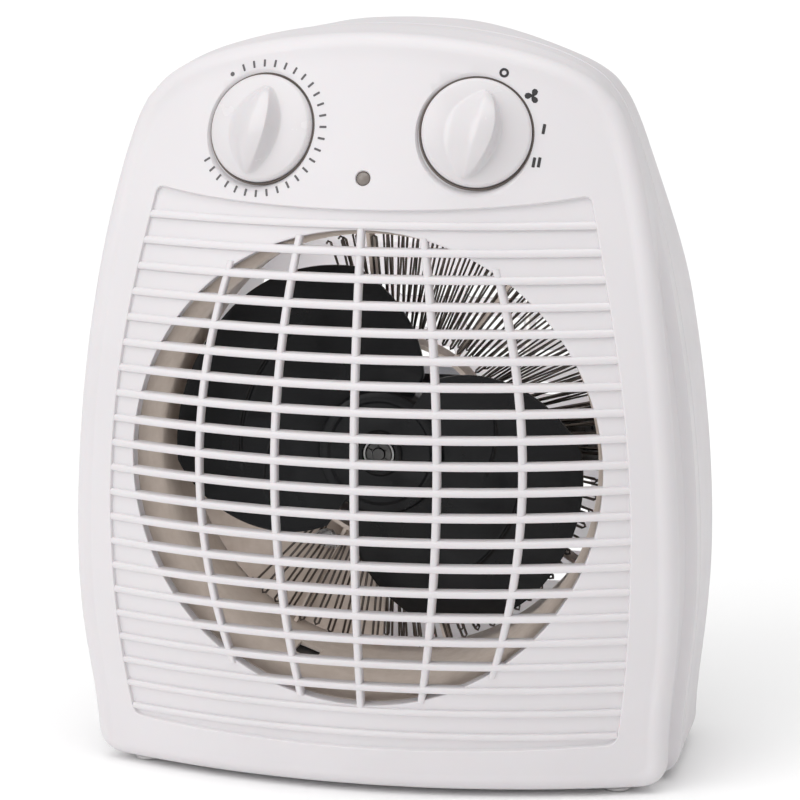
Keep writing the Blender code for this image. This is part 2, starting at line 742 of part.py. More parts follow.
def knob(name, placement, axis, pointing):
    """A low domed cap with a leaf-shaped grip across it; the grip points clockwise from up."""
    skirt = -WELL_DEPTH + 0.6 * MM
    cap = [(0, 5.6 * MM), (7 * MM, 5.3 * MM), (12 * MM, 4.4 * MM), (15.5 * MM, 3.0 * MM),
           (KNOB_RADIUS, 1.2 * MM), (KNOB_RADIUS, skirt), (0, skirt)]
    made = turned(name, cap, WHITE_PLASTIC, placement, axis, steps=32)
    applied(made)
    turn = placement @ Matrix.Rotation(-math.radians(pointing), 4, "Z")
    grip = plate(name + "_grip", [grip_outline(31 * MM, 11.5 * MM)], 0.5 * MM, 13 * MM, None, turn)
    # The grip slopes down to its two ends and leans in towards its crest.
    body = bmesh.new()
    body.from_mesh(grip.data)
    for vertex in body.verts:
        if vertex.co.z > 10 * MM:
            share = vertex.co.y / (15.5 * MM)
            vertex.co.z -= 7.5 * MM * share * share
            vertex.co.x *= 0.6
    body.to_mesh(grip.data)
    body.free()
    boolean(made, as_cutter(grip), "UNION")
    bore = cutter_from(name + "_bore", lambda b: add_cylinder(
        b, SPINDLE_RADIUS + GAP, skirt - OVERRUN, 9 * MM, steps=12), placement)
    boolean(made, bore)
    return made


def spindle(name, placement, axis, back):
    profile = [(0, 8.5 * MM), (SPINDLE_RADIUS, 8.5 * MM), (SPINDLE_RADIUS, back), (0, back)]
    return turned(name, profile, STEEL, placement, axis, steps=12)


THERMOSTAT_POINTING = 9
SELECTOR_POINTING = 15


def thermostat():
    place = face_frame(-KNOB_SPREAD, KNOB_HEIGHT)
    axis = axis_empty("thermostat_axis", place)
    knob("thermostat_knob", place, axis, THERMOSTAT_POINTING)
    spindle("thermostat_spindle", place, axis, -16 * MM)
    front = -WELL_BACK - GAP
    hole = [circle(SPINDLE_RADIUS + 2.6 * MM, steps=16)]
    plate("thermostat_frame", [rectangle(16 * MM, 40 * MM)] + hole, front - 1 * MM, front, STEEL, place)
    bore = SPINDLE_RADIUS + BEARING_CLEARANCE
    bush = [(5.2 * MM, front), (5.2 * MM, front - 8 * MM), (bore, front - 8 * MM), (bore, front)]
    turned("thermostat_bush", bush, BRASS, place, steps=16, ring=True)
    block("thermostat_ceramic", (0, -13 * MM, front - 1 * MM - GAP - 6 * MM), (12 * MM, 10 * MM, 12 * MM),
          CERAMIC, place)
    block("thermostat_bimetal", (0, -1 * MM, front - 13.9 * MM), (8 * MM, 34 * MM, 0.6 * MM), BRASS, place)


def selector():
    place = face_frame(KNOB_SPREAD, KNOB_HEIGHT)
    axis = axis_empty("selector_axis", place)
    knob("selector_knob", place, axis, SELECTOR_POINTING)
    spindle("selector_spindle", place, axis, -14 * MM)
    front = -WELL_BACK - GAP
    back = front - 16 * MM
    body = [(15 * MM, front), (16 * MM, front - 1 * MM), (16 * MM, back), (0, back), (0, back + 5 * MM),
            (3.4 * MM, back + 5 * MM), (3.4 * MM, front)]
    turned("selector_switch_body", body, DARK_PLASTIC, place, steps=24, ring=True)
    for number, (x, y) in enumerate(((-9, -7), (9, -7), (-9, 7), (9, 7)), 1):
        centre = (x * MM, y * MM, back - GAP - 4 * MM)
        block(f"selector_terminal_{number}", centre, (6.3 * MM, 0.8 * MM, 8 * MM), BRASS, place)


# Fan

BLADE_FRONT = 35 * MM
BLADE_BACK = 56 * MM
BLADE_THICKNESS = 1.6 * MM
BLADE_TURNS = (0, 180)


def blade_edges(radius):
    """The angles, in degrees, between which a blade lies at a radius. Both edges sweep in towards the tip."""
    inwards = max(FAN_RADIUS - radius, 0.0) / MM
    return max(110 - 1.12 * inwards, 62), min(180 + 2.7 * inwards ** 0.82, 235)


def blade_mesh(turn):
    """A broad swept paddle that comes forward round the axis, turned by an angle in degrees."""
    radial, around = 6, 9
    root = FAN_HUB_RADIUS - 3 * MM
    middle = (BLADE_FRONT + BLADE_BACK) / 2
    span = BLADE_BACK - BLADE_FRONT - BLADE_THICKNESS

    def build(body):
        rows = []
        for a in range(around + 1):
            share = a / around
            trim = 1 - (0.12 if share < 0.5 else 0.02) * abs(2 * share - 1) ** 3
            row = []
            for r in range(radial + 1):
                radius = root + (FAN_RADIUS * trim - root) * r / radial
                start, end = blade_edges(radius)
                angle = math.radians(turn + start + (end - start) * share)
                depth = middle + (0.5 - share) * span * (0.35 + 0.65 * radius / FAN_RADIUS)
                row.append(body.verts.new((radius * math.cos(angle), depth_y(depth),
                                           OPENING_HEIGHT + radius * math.sin(angle))))
            rows.append(row)
        faces = []
        for first, second in zip(rows, rows[1:]):
            for i in range(radial):
                faces.append(body.faces.new((first[i], first[i + 1], second[i + 1], second[i])))
        back = bmesh.ops.extrude_face_region(body, geom=faces, use_keep_orig=True)
        moved = [item for item in back["geom"] if isinstance(item, bmesh.types.BMVert)]
        bmesh.ops.translate(body, verts=moved, vec=(0, BLADE_THICKNESS, 0))
    return build


def fan():
    place = facing_front(FAN_HUB_FRONT)
    axis = axis_empty("fan_axis", place)
    length = FAN_HUB_LENGTH
    hub = [(5.6 * MM, 0), (FAN_HUB_RADIUS - 3 * MM, -0.6 * MM), (FAN_HUB_RADIUS, -3 * MM),
           (FAN_HUB_RADIUS, -length), (SHAFT_RADIUS + GAP, -length), (SHAFT_RADIUS + GAP, -1.6 * MM),
           (5.6 * MM, -1.6 * MM)]
    made = turned("fan_blade", hub, BLACK_PLASTIC, place, axis, steps=32, ring=True)
    applied(made)
    for number, turn in enumerate(BLADE_TURNS, 1):
        blade = cutter_from(f"blade_{number}", blade_mesh(turn))
        boolean(made, blade, "UNION")
    bore = SHAFT_RADIUS + GAP
    clip = [(5.2 * MM, 0.4 * MM), (5.2 * MM, -1.3 * MM), (bore, -1.3 * MM), (bore, 0.4 * MM)]
    turned("fan_clip", clip, STEEL, place, axis, steps=16, ring=True)
    shaft_end = FAN_HUB_FRONT - 107 * MM
    shaft = [(0, 1 * MM), (SHAFT_RADIUS, 1 * MM), (SHAFT_RADIUS, shaft_end), (0, shaft_end)]
    turned("motor_shaft", shaft, STEEL, place, axis, steps=12)
    rotor_front = FAN_HUB_FRONT - STATOR_FRONT
    rotor_back = rotor_front - STATOR_THICKNESS
    rotor = [(11.5 * MM, rotor_front), (11.5 * MM, rotor_back), (bore, rotor_back), (bore, rotor_front)]
    turned("motor_rotor", rotor, LAMINATION, place, axis, steps=24, ring=True)


# Motor

def stator_outline():
    outer = [(-25, -40), (25, -40), (25, 14), (19, 20), (-19, 20), (-25, 14)]
    window = rectangle(32 * MM, 13 * MM, 0, -22.5 * MM)
    bolts = [circle(1.9 * MM, side * MOTOR_SCREW_SPREAD, 0, 10) for side in (-1, 1)]
    return [[(x * MM, y * MM) for x, y in outer], circle(12.2 * MM, steps=24), window] + bolts


def hat_outline(reach, crown, lift, thickness):
    """Side view of a bearing bracket: two feet and a raised middle."""
    slope = crown + 3 * MM
    lower = [(-reach, 0), (-slope, 0), (-crown, lift), (crown, lift), (slope, 0), (reach, 0)]
    upper = [(x, y + thickness) for x, y in lower]
    return lower + upper[::-1]


def bracket(name, foot_depth, backwards):
    """A bearing bracket that spans the stator, with its crown away from it."""
    sign = 1 if backwards else -1
    place = Matrix.Translation((0, depth_y(foot_depth), OPENING_HEIGHT)) @ Matrix.Diagonal((1, sign, 1, 1))
    made = plate(name, [hat_outline(24 * MM, 9 * MM, 4 * MM, 1.2 * MM)], -6 * MM, 6 * MM, STEEL)
    made.data.transform(place)
    if sign < 0:
        made.data.flip_normals()
    boolean(made, round_cutter(name + "_bore", 4.5 * MM, 12 * MM, facing_front(foot_depth), 16))
    for side in (-1, 1):
        place = facing_front(foot_depth, side * MOTOR_SCREW_SPREAD)
        boolean(made, round_cutter(f"{name}_hole_{side}", 1.9 * MM, 6 * MM, place, 10))


def motor():
    place = facing_front(STATOR_FRONT)
    plate("motor_stator", stator_outline(), -STATOR_THICKNESS, 0, LAMINATION, place)
    coil_place = facing_front(STATOR_FRONT + STATOR_THICKNESS / 2, 0, OPENING_HEIGHT - 35 * MM)
    coil = block("motor_coil", (0, 0, 0), (29 * MM, 22 * MM, 26 * MM), COPPER, coil_place, bevel=1.5 * MM)
    slot = (40 * MM, 12.1 * MM, STATOR_THICKNESS + 2 * GAP)
    boolean(coil, cutter_from("coil_slot", lambda body: add_box(body, (0, 0.25 * MM, 0), slot), coil_place))
    front_foot = STATOR_FRONT - GAP
    back_foot = STATOR_FRONT + STATOR_THICKNESS + GAP
    bracket("motor_bracket_front", front_foot, False)
    bracket("motor_bracket_rear", back_foot, True)
    bore = SHAFT_RADIUS + BEARING_CLEARANCE
    bush = [(4.2 * MM, 0), (4.2 * MM, -4 * MM), (bore, -4 * MM), (bore, 0)]
    bearings = (("motor_bearing_front", front_foot - 6.5 * MM), ("motor_bearing_rear", back_foot + 2.5 * MM))
    for name, depth in bearings:
        turned(name, bush, BRASS, facing_front(depth), steps=16, ring=True)


# Air duct and heating element

BRIDGE_SCREW_SPREAD = 77.6 * MM
ELEMENT_HUB = 34 * MM
ELEMENT_REACH = 74.5 * MM
WIRE_INNER = 38.5 * MM
WIRE_OUTER = 72 * MM
WIRE_RADIUS = 0.45 * MM
WIRE_TURNS = 34
WIRE_START = 226
WIRE_SWEEP = 242
BOARD_SPAN = (150, 266)
WINDOW_ANGLE = 250
WINDOW_DEPTH = 43.4 * MM


def polar(radius, angle):
    """(x, y) in the plane of the opening, y measured up from its centre."""
    return (radius * math.cos(math.radians(angle)), radius * math.sin(math.radians(angle)))


def duct_ring(radius, depth=None):
    """A circle round the fan's axis, at a depth or else along the bow, just behind the opening's rim."""
    loop = [(x, OPENING_HEIGHT + z) for x, z in circle(radius, steps=48)]
    return on_face(loop, RIM_DEPTH + GAP) if depth is None else at_depth(loop, depth)


def air_duct():
    """The sleeve round the fan and the element: a flared mouth that follows the bow of the front, a
    rear flange, four lugs and a small window low on the left.
    """
    place = facing_front(DUCT_BACK)
    wall = DUCT_WALL
    throat = DUCT_RADIUS + 0.2 * MM
    flange = DUCT_RADIUS + 5 * MM
    rings = [duct_ring(DUCT_MOUTH), duct_ring(throat, DUCT_THROAT), duct_ring(DUCT_RADIUS, DUCT_BACK),
             duct_ring(flange, DUCT_BACK), duct_ring(flange, DUCT_BACK - wall),
             duct_ring(DUCT_RADIUS + wall, DUCT_BACK - wall), duct_ring(throat + wall, DUCT_THROAT),
             duct_ring(DUCT_MOUTH + wall)]
    made = loft("air_duct", rings, MICA, closed=True)

    def build_lugs(body):
        for angle in DUCT_POST_ANGLES:
            x, y = polar(DUCT_POST_RADIUS, angle)
            inner_x, inner_y = polar(DUCT_RADIUS + 4.5 * MM, angle)
            lug = Matrix.Translation(((x + inner_x) / 2, (y + inner_y) / 2, 0.6 * MM))
            turn = Matrix.Rotation(math.radians(angle), 4, "Z")
            size = Matrix.Diagonal((14 * MM, 10 * MM, 1.0 * MM, 1))
            bmesh.ops.create_cube(body, size=1, matrix=lug @ turn @ size)

    def build_holes(body):
        for angle in DUCT_POST_ANGLES:
            x, y = polar(DUCT_POST_RADIUS, angle)
            add_cylinder(body, 1.8 * MM, -2 * MM, 3 * MM, x, y, 10)
        for side in (-1, 1):
            add_cylinder(body, 1.3 * MM, -2 * MM, 3 * MM, side * BRIDGE_SCREW_SPREAD, 0, 8)
        x, y = polar(DUCT_RADIUS, WINDOW_ANGLE)
        window = Matrix.Translation((x, y, DUCT_BACK - WINDOW_DEPTH))
        turn = Matrix.Rotation(math.radians(WINDOW_ANGLE), 4, "Z")
        size = Matrix.Diagonal((8 * MM, 8 * MM, 12 * MM, 1))
        bmesh.ops.create_cube(body, size=1, matrix=window @ turn @ size)

    boolean(made, cutter_from("duct_lugs", build_lugs, place), "UNION")
    boolean(made, cutter_from("duct_holes", build_holes, place))
    names = ("duct_screw_1", "duct_screw_2", "duct_screw_3", "duct_screw_4")
    for name, angle in zip(names, DUCT_POST_ANGLES):
        x, y = polar(DUCT_POST_RADIUS, angle)
        screw_into(name, x, OPENING_HEIGHT + y, DUCT_BACK + 2 * MM + GAP, 13 * MM)


def element_frame():
    """Mica frame: a hub ring with six spokes on edge and a flat board behind part of the wires."""
    place = facing_front(66 * MM)
    ring = [(ELEMENT_HUB + 1.4 * MM, 5.5 * MM), (ELEMENT_HUB + 1.4 * MM, -5 * MM), (ELEMENT_HUB, -5 * MM),
            (ELEMENT_HUB, 5.5 * MM)]
    made = turned("element_frame", ring, MICA, place, steps=36, ring=True)
    applied(made)

    def build_spokes(body):
        for angle in (242, 285, 328, 11, 54, 97):
            x, y = polar((ELEMENT_HUB + ELEMENT_REACH) / 2 + 0.4 * MM, angle)
            spoke = Matrix.Translation((x, y, 0)) @ Matrix.Rotation(math.radians(angle), 4, "Z")
            size = Matrix.Diagonal((ELEMENT_REACH - ELEMENT_HUB - 0.8 * MM, 1.2 * MM, 8 * MM, 1))
            bmesh.ops.create_cube(body, size=1, matrix=spoke @ size)

    start, end = BOARD_SPAN
    angles = [start + (end - start) * i / 10 for i in range(11)]
    outline_points = [polar(ELEMENT_HUB + 0.7 * MM, angle) for angle in angles]
    outline_points += [polar(ELEMENT_REACH, angle) for angle in reversed(angles)]
    board = as_cutter(plate("element_board", [outline_points], -3.2 * MM, -2 * MM, None, place))
    boolean(made, cutter_from("element_spokes", build_spokes, place), "UNION")
    boolean(made, board, "UNION")


def heater_wire(name, depth, phase):
    """One circuit of resistance wire, laced in a zig-zag round the frame."""
    points = []
    for i in range(2 * WIRE_TURNS + 1):
        radius = WIRE_OUTER if i % 2 == 0 else WIRE_INNER
        x, y = polar(radius, WIRE_START + phase + (WIRE_SWEEP - phase) * i / (2 * WIRE_TURNS))
        points.append((x, depth_y(depth), OPENING_HEIGHT + y))
    tube(name, points, WIRE_RADIUS, RESISTANCE_WIRE, resolution=0)


def safety_parts():
    """The thermal cut-out and the one-shot fuse on the mica board."""
    x, y = polar(60 * MM, 196)
    place = facing_front(66 * MM, x, OPENING_HEIGHT + y)
    cap = [(0, 4 * MM), (5.5 * MM, 4 * MM), (6.5 * MM, 3 * MM), (6.5 * MM, 0.5 * MM), (5.8 * MM, 0.5 * MM),
           (5.8 * MM, -2 * MM + GAP), (0, -2 * MM + GAP)]
    turned("thermal_cutout", cap, DARK_PLASTIC, place, steps=18)
    x, y = polar(58 * MM, 168)
    along = facing_front(65 * MM, x, OPENING_HEIGHT + y) @ Matrix.Rotation(math.radians(90), 4, "X")
    fuse = [(0, 8 * MM), (0.5 * MM, 8 * MM), (0.5 * MM, 5 * MM), (1.8 * MM, 4.5 * MM), (1.8 * MM, -4.5 * MM),
            (0.5 * MM, -5 * MM), (0.5 * MM, -8 * MM), (0, -8 * MM)]
    turned("thermal_fuse", fuse, STEEL, along, steps=12)


def motor_bridge():
    """The strip across the duct that carries the motor, with its spacers and screws."""
    place = facing_front(BRIDGE_DEPTH)
    holes = [circle(6 * MM, steps=18)]
    for side in (-1, 1):
        holes.append(circle(1.9 * MM, side * MOTOR_SCREW_SPREAD, 0, 10))
        holes.append(circle(1.4 * MM, side * BRIDGE_SCREW_SPREAD, 0, 8))
    strip = rectangle(2 * BRIDGE_SCREW_SPREAD + 7 * MM, 18 * MM)
    plate("motor_bridge", [strip] + holes, -1.2 * MM, 0, STEEL, place)
    for label, side in (("left", -1), ("right", 1)):
        x = side * MOTOR_SCREW_SPREAD
        spacer_front = BRIDGE_DEPTH + 1.2 * MM + GAP
        spacer_back = STATOR_FRONT - 1.2 * MM - 2 * GAP
        length = spacer_back - spacer_front
        ring = [(3.5 * MM, 0), (3.5 * MM, -length), (1.9 * MM, -length), (1.9 * MM, 0)]
        turned(f"motor_spacer_{label}", ring, BRASS, facing_front(spacer_front, x), steps=12, ring=True)
        head = STATOR_FRONT + STATOR_THICKNESS + 3.9 * MM
        screw_into(f"motor_screw_{label}", x, OPENING_HEIGHT, head, 28 * MM)
        backwards = Matrix.Rotation(math.pi, 4, "X")
        turned(f"bridge_screw_{label}", screw_profile(6 * MM, 2.4 * MM, 1.0 * MM), STEEL,
               facing_front(BRIDGE_DEPTH + 3.2 * MM + GAP, side * BRIDGE_SCREW_SPREAD) @ backwards, steps=10)


# Mains entry and leads

def mains_entry():
    """The rubber bush in the back wall and the terminal block on the floor of the housing."""
    flange = INLET_RADIUS + 2 * MM
    neck = INLET_RADIUS - GAP
    bush = [(neck, 5 * MM), (neck, 0), (flange, 0), (flange, -INLET_RECESS + GAP),
            (3.3 * MM, -INLET_RECESS + GAP), (3.3 * MM, 5 * MM)]
    place = facing_front(BODY_DEPTH - INLET_RECESS, INLET_X, INLET_HEIGHT) @ Matrix.Translation((0, 0, -GAP))
    turned("cord_inlet_bush", bush, RUBBER, place, steps=16, ring=True)
    floor = HOUSING_BOTTOM + SHELL_WALL + GAP
    centre = (-50 * MM, depth_y(84 * MM), floor + 6.5 * MM)
    size = (26 * MM, 14 * MM, 13 * MM)
    block("terminal_block", (0, 0, 0), size, CERAMIC, Matrix.Translation(centre), bevel=1 * MM)


def lead(name, stops, radius=1.1 * MM):
    """An insulated lead along a smooth curve through its stops, given as (x, depth, z) in millimetres."""
    knots = [Vector((x * MM, depth_y(depth * MM), z * MM)) for x, depth, z in stops]
    padded = [2 * knots[0] - knots[1]] + knots + [2 * knots[-1] - knots[-2]]
    points = []
    for a, b, c, d in zip(padded, padded[1:], padded[2:], padded[3:]):
        points += interpolate_bezier(b, b + (c - a) / 6, c - (d - b) / 6, c, 5)[:-1]
    points.append(knots[-1])
    tube(name, points, radius, LEAD_INSULATION, resolution=1)


def leads():
    lead("lead_live", ((-62, 92.5, 14), (-66, 100, 40), (-90, 92, 100), (-86, 88, 160), (-74, 86, 181),
                       (-58, 82, 190), (-46, 52, 214)))
    lead("lead_neutral", ((-40, 92.5, 14), (-30, 100, 24), (-16, 107, 44), (-10, 108, 60), (-8, 104.6, 72)))
    lead("lead_switched", ((-30, 50, 214), (-16, 62, 214), (4, 66, 210), (20, 58, 207)))
    lead("lead_motor", ((30, 58, 203), (36, 76, 196), (38, 84, 178), (41, 94, 162), (38, 107, 125),
                        (30, 106, 88), (16, 101, 76)))
    lead("lead_heat_low", ((44, 60, 202), (41, 80, 202), (6, 86, 197), (-6, 82, 190), (-8, 77, 184)))
    lead("lead_heat_high", ((52, 60, 204), (54, 74, 200), (30, 86, 196), (0, 86, 192), (4, 78, 182)))


front_shell()
rear_shell()
housing_fasteners()
feet()
pilot_lamp()
thermostat()
selector()
fan()
motor()
air_duct()
element_frame()
heater_wire("heater_wire_low", 61.0 * MM, 0)
heater_wire("heater_wire_high", 71.0 * MM, 3)
safety_parts()
motor_bridge()
mains_entry()
leads()
for item in PARTS.objects:
    if item.type == "MESH":
        shade(item)
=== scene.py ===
"""Fan convector heater: detailed meshes, materials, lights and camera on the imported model.

Metres, +Z up. The front faces -Y. Depths are measured backwards from the foremost point of the front.
"""

import json
import math

import bmesh
import bpy
from mathutils import Matrix, Vector
from mathutils.geometry import interpolate_bezier

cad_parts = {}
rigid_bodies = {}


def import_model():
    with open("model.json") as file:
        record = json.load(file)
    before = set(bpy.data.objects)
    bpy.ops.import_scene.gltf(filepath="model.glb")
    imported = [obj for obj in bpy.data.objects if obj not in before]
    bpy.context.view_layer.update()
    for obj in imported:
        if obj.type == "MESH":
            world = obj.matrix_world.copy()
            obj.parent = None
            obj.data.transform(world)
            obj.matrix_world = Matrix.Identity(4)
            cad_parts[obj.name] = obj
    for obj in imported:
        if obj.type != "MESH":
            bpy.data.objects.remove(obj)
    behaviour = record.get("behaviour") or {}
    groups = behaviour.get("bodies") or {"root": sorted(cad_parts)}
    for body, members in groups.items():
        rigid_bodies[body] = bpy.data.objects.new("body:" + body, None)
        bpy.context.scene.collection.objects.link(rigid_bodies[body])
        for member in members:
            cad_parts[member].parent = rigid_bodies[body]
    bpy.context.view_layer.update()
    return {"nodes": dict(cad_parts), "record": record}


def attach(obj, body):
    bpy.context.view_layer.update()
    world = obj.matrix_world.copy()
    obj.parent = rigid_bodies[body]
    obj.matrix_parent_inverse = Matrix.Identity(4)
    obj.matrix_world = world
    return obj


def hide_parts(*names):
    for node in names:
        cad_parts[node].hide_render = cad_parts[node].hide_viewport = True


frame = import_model()

MM = 0.001

# The housing
BODY_DEPTH = 120 * MM
FRONT_Y = -BODY_DEPTH / 2
WALL = 2.2 * MM
SEAM_DEPTH = 62 * MM
RIDGE_DEPTH = 52 * MM
SCOOP_DEPTH = 4.5 * MM
FRONT_ROUNDING = 6 * MM
REAR_ROUNDING = 24 * MM
REAR_NARROWING = 0.15
BACK_MIDDLE = 60 * MM
SHOULDER_TAPER = 3 * MM
APEX_HEIGHT = 107 * MM
FACE_RADIUS_X = 193 * MM
FACE_RADIUS_Z = 289 * MM
BOW_TOP = 88 * MM
BOW_BOTTOM = 70 * MM
LOWER_FLATTENING = 2.0
FRONT_OUTLINE = (
    ((0, 252.5), (23.5, 252.5), (65.9, 247.4), (76.8, 231.7)),
    ((76.8, 231.7), (89.2, 223.7), (102.9, 131), (102.9, 70.9)),
    ((102.9, 70.9), (102.9, 42), (99.2, 34), (99.2, 11)),
    ((99.2, 11), (98.7, 5), (95, 1.8), (89, 1.8)),
)
BODY_OUTLINE = (
    ((0, 253.7), (39, 253.7), (68.2, 244.2), (74.9, 233.4)),
    ((74.9, 233.4), (86.2, 221.8), (106.2, 143), (106.2, 74)),
    ((106.2, 74), (106.2, 47), (101.7, 25.5), (101.7, 10)),
    ((101.7, 10), (101.2, 4.5), (96.7, 1.8), (91.7, 1.8)),
)
SIDE_POINTS = (34, 64, 30, 14)
BOTTOM_POINTS = 30

# The grille
OPENING_HEIGHT = 111.3 * MM
OPENING_RADIUS = 79 * MM
RIM_DEPTH = 5.2 * MM
RIM_DRAFT = 0.5 * MM
RECESS = 1.4 * MM
BAR_PITCH = 8.5 * MM
BAR_HEIGHT = 2.6 * MM
FIRST_BAR, LAST_BAR = -2, 18
MIDDLE_BAR = 8.5
UPRIGHTS = 5
UPRIGHT_SPACING = 27 * MM
UPRIGHT_BULGE = 41.0
UPRIGHT_END_SHARE = 0.62

# The controls
KNOB_SPREAD = 35.7 * MM
KNOB_HEIGHT = 221.4 * MM
KNOB_RADIUS = 17.75 * MM
THERMOSTAT_POINTS, SELECTOR_POINTS = 9, 15
WELL_RADIUS = 18.6 * MM
LAMP_HEIGHT = 206.7 * MM
LAMP_RADIUS = 2.3 * MM

# Inside
FAN_RADIUS = 70.5 * MM
FAN_HUB_RADIUS = 21.5 * MM
FAN_HUB_FRONT = 40 * MM
FAN_HUB_LENGTH = 16 * MM
DUCT_RADIUS = 75 * MM
DUCT_MOUTH = 78.4 * MM
DUCT_THROAT = 34.5 * MM
DUCT_WALL = 1.2 * MM
DUCT_BACK = 75 * MM
BRIDGE_SCREW_SPREAD = 77.6 * MM

# The feet, as (across, depth) in millimetres
FEET = {"foot_front_left": (-82, 40), "foot_front_right": (82, 40),
        "foot_rear_left": (-80, 90), "foot_rear_right": (80, 90)}
FOOT_PEG_HOLE = 2.3 * MM
UNDERSIDE = 1.8 * MM


# Surfaces

def depth_y(depth):
    return FRONT_Y + depth


def smooth(value):
    value = min(max(value, 0.0), 1.0)
    return value * value * (3 - 2 * value)


def face_y(x, z):
    """World y of the bowed front."""
    up = z - APEX_HEIGHT
    bowed = min(max(up, -BOW_BOTTOM), BOW_TOP)
    rise = bowed * bowed / (2 * FACE_RADIUS_Z) + (up - bowed) * bowed / FACE_RADIUS_Z
    arch = x * x / (2 * FACE_RADIUS_X) * (1 + LOWER_FLATTENING * min(up, 0.0))
    return FRONT_Y + rise + arch


def face_normal(x, z):
    step = 0.1 * MM
    slope_x = (face_y(x + step, z) - face_y(x - step, z)) / (2 * step)
    slope_z = (face_y(x, z + step) - face_y(x, z - step)) / (2 * step)
    return Vector((slope_x, -1, slope_z)).normalized()


def face_frame(x, z):
    """Placement on the front: local +Z outwards, local +Y up along the surface."""
    out = face_normal(x, z)
    right = Vector((0, 0, 1)).cross(out).normalized()
    up = out.cross(right)
    turn = Matrix((right, up, out)).transposed().to_4x4()
    return Matrix.Translation((x, face_y(x, z), z)) @ turn


def facing_front(depth, x=0.0, z=OPENING_HEIGHT):
    return Matrix.Translation((x, depth_y(depth), z)) @ Matrix.Rotation(math.radians(90), 4, "X")


def knob_frame(side):
    """Placement at a knob: -1 is the thermostat, 1 the switch."""
    return face_frame(side * KNOB_SPREAD, KNOB_HEIGHT)


def turn_z(degrees):
    return Matrix.Rotation(math.radians(degrees), 4, "Z")


def in_mm(*points):
    return [(a * MM, b * MM) for a, b in points]


def polar(radius, angle):
    return (radius * math.cos(math.radians(angle)), radius * math.sin(math.radians(angle)))


# Materials

class Nodes:
    """A small writer of shader nodes on one material."""

    def __init__(self, name, color, roughness, metallic=0.0, **more):
        self.material = bpy.data.materials.new(name)
        self.material.use_nodes = True
        self.tree = self.material.node_tree
        self.shader = self.tree.nodes["Principled BSDF"]
        self.shader.inputs["Base Color"].default_value = (*color, 1)
        self.shader.inputs["Roughness"].default_value = roughness
        self.shader.inputs["Metallic"].default_value = metallic
        for socket, value in more.items():
            self.shader.inputs[socket.replace("_", " ")].default_value = value
        self.place = self.tree.nodes.new("ShaderNodeTexCoord").outputs["Object"]

    def add(self, kind, **values):
        node = self.tree.nodes.new(kind)
        for name, value in values.items():
            if name in node.inputs:
                node.inputs[name].default_value = value
            else:
                setattr(node, name, value)
        return node

    def link(self, source, target):
        self.tree.links.new(source, target)

    def noise(self, scale, detail=3.0, stretch=None):
        """Noise of a scale in waves per metre, stretched along an axis."""
        noise = self.add("ShaderNodeTexNoise", Scale=scale, Detail=detail)
        source = self.place
        if stretch is not None:
            mapping = self.add("ShaderNodeMapping", Scale=stretch)
            self.link(source, mapping.inputs["Vector"])
            source = mapping.outputs["Vector"]
        self.link(source, noise.inputs["Vector"])
        return noise.outputs["Fac"]

    def spread(self, source, low, high):
        """The source squeezed into a range."""
        limits = {"From Min": 0.3, "From Max": 0.7, "To Min": low, "To Max": high}
        ranged = self.add("ShaderNodeMapRange", **limits)
        self.link(source, ranged.inputs["Value"])
        return ranged.outputs["Result"]

    def colors(self, source, first, second):
        mix = self.add("ShaderNodeMix", data_type="RGBA")
        mix.inputs[6].default_value = (*first, 1)
        mix.inputs[7].default_value = (*second, 1)
        self.link(self.spread(source, 0, 1), mix.inputs[0])
        self.link(mix.outputs[2], self.shader.inputs["Base Color"])

    def rough(self, source, low, high):
        self.link(self.spread(source, low, high), self.shader.inputs["Roughness"])

    def bump(self, source, height, strength=1.0):
        bump = self.add("ShaderNodeBump", Strength=strength, Distance=height)
        self.link(source, bump.inputs["Height"])
        before = self.shader.inputs["Normal"].links
        if before:
            self.link(before[0].from_socket, bump.inputs["Normal"])
        self.link(bump.outputs["Normal"], self.shader.inputs["Normal"])


def moulded(name, first, second, low, high, grain=0.010, **more):
    """Moulded plastic: slow colour drift, uneven gloss, flow waviness and a fine grain."""
    made = Nodes(name, first, low, **more)
    made.colors(made.noise(18, 2), first, second)
    made.rough(made.noise(60, 4), low, high)
    made.bump(made.noise(45, 1), 0.05 * MM, 0.5)
    made.bump(made.noise(2600, 2), grain * MM, 0.6)
    return made.material


def metal(name, first, second, low, high, stretch=None, grain=0.012):
    made = Nodes(name, first, low, 1.0)
    made.colors(made.noise(120, 3), first, second)
    made.rough(made.noise(500, 4, stretch), low, high)
    made.bump(made.noise(1500, 3, stretch), grain * MM, 0.7)
    return made.material


WHITE = moulded("white_moulding", (0.680, 0.656, 0.672), (0.655, 0.632, 0.647), 0.42, 0.54,
                Subsurface_Weight=0.06, Subsurface_Scale=0.002)
KNOB_WHITE = moulded("gloss_white_knob", (0.640, 0.616, 0.630), (0.622, 0.599, 0.612), 0.20, 0.28, 0.003,
                     Subsurface_Weight=0.08, Subsurface_Scale=0.002)
BLACK = moulded("gloss_black_fan", (0.0030, 0.0032, 0.0035), (0.0058, 0.0060, 0.0068), 0.16, 0.30, 0.004,
               Specular_IOR_Level=0.25)
DARK = moulded("dark_phenolic", (0.035, 0.033, 0.032), (0.055, 0.050, 0.047), 0.42, 0.55)
# Painted shade: a dark brown-grey for the ring in each knob's gap, standing in for the shadow there
GAP_SHADE = moulded("knob_gap_shade", (0.105, 0.085, 0.075), (0.140, 0.115, 0.102), 0.6, 0.8)
RUBBER = moulded("black_rubber", (0.030, 0.030, 0.031), (0.045, 0.044, 0.044), 0.65, 0.8, 0.02)
PALE_RUBBER = moulded("pale_rubber", (0.60, 0.585, 0.585), (0.54, 0.53, 0.53), 0.6, 0.75, 0.02)
INK = moulded("dial_ink", (0.022, 0.020, 0.022), (0.045, 0.042, 0.044), 0.45, 0.6, 0.004)
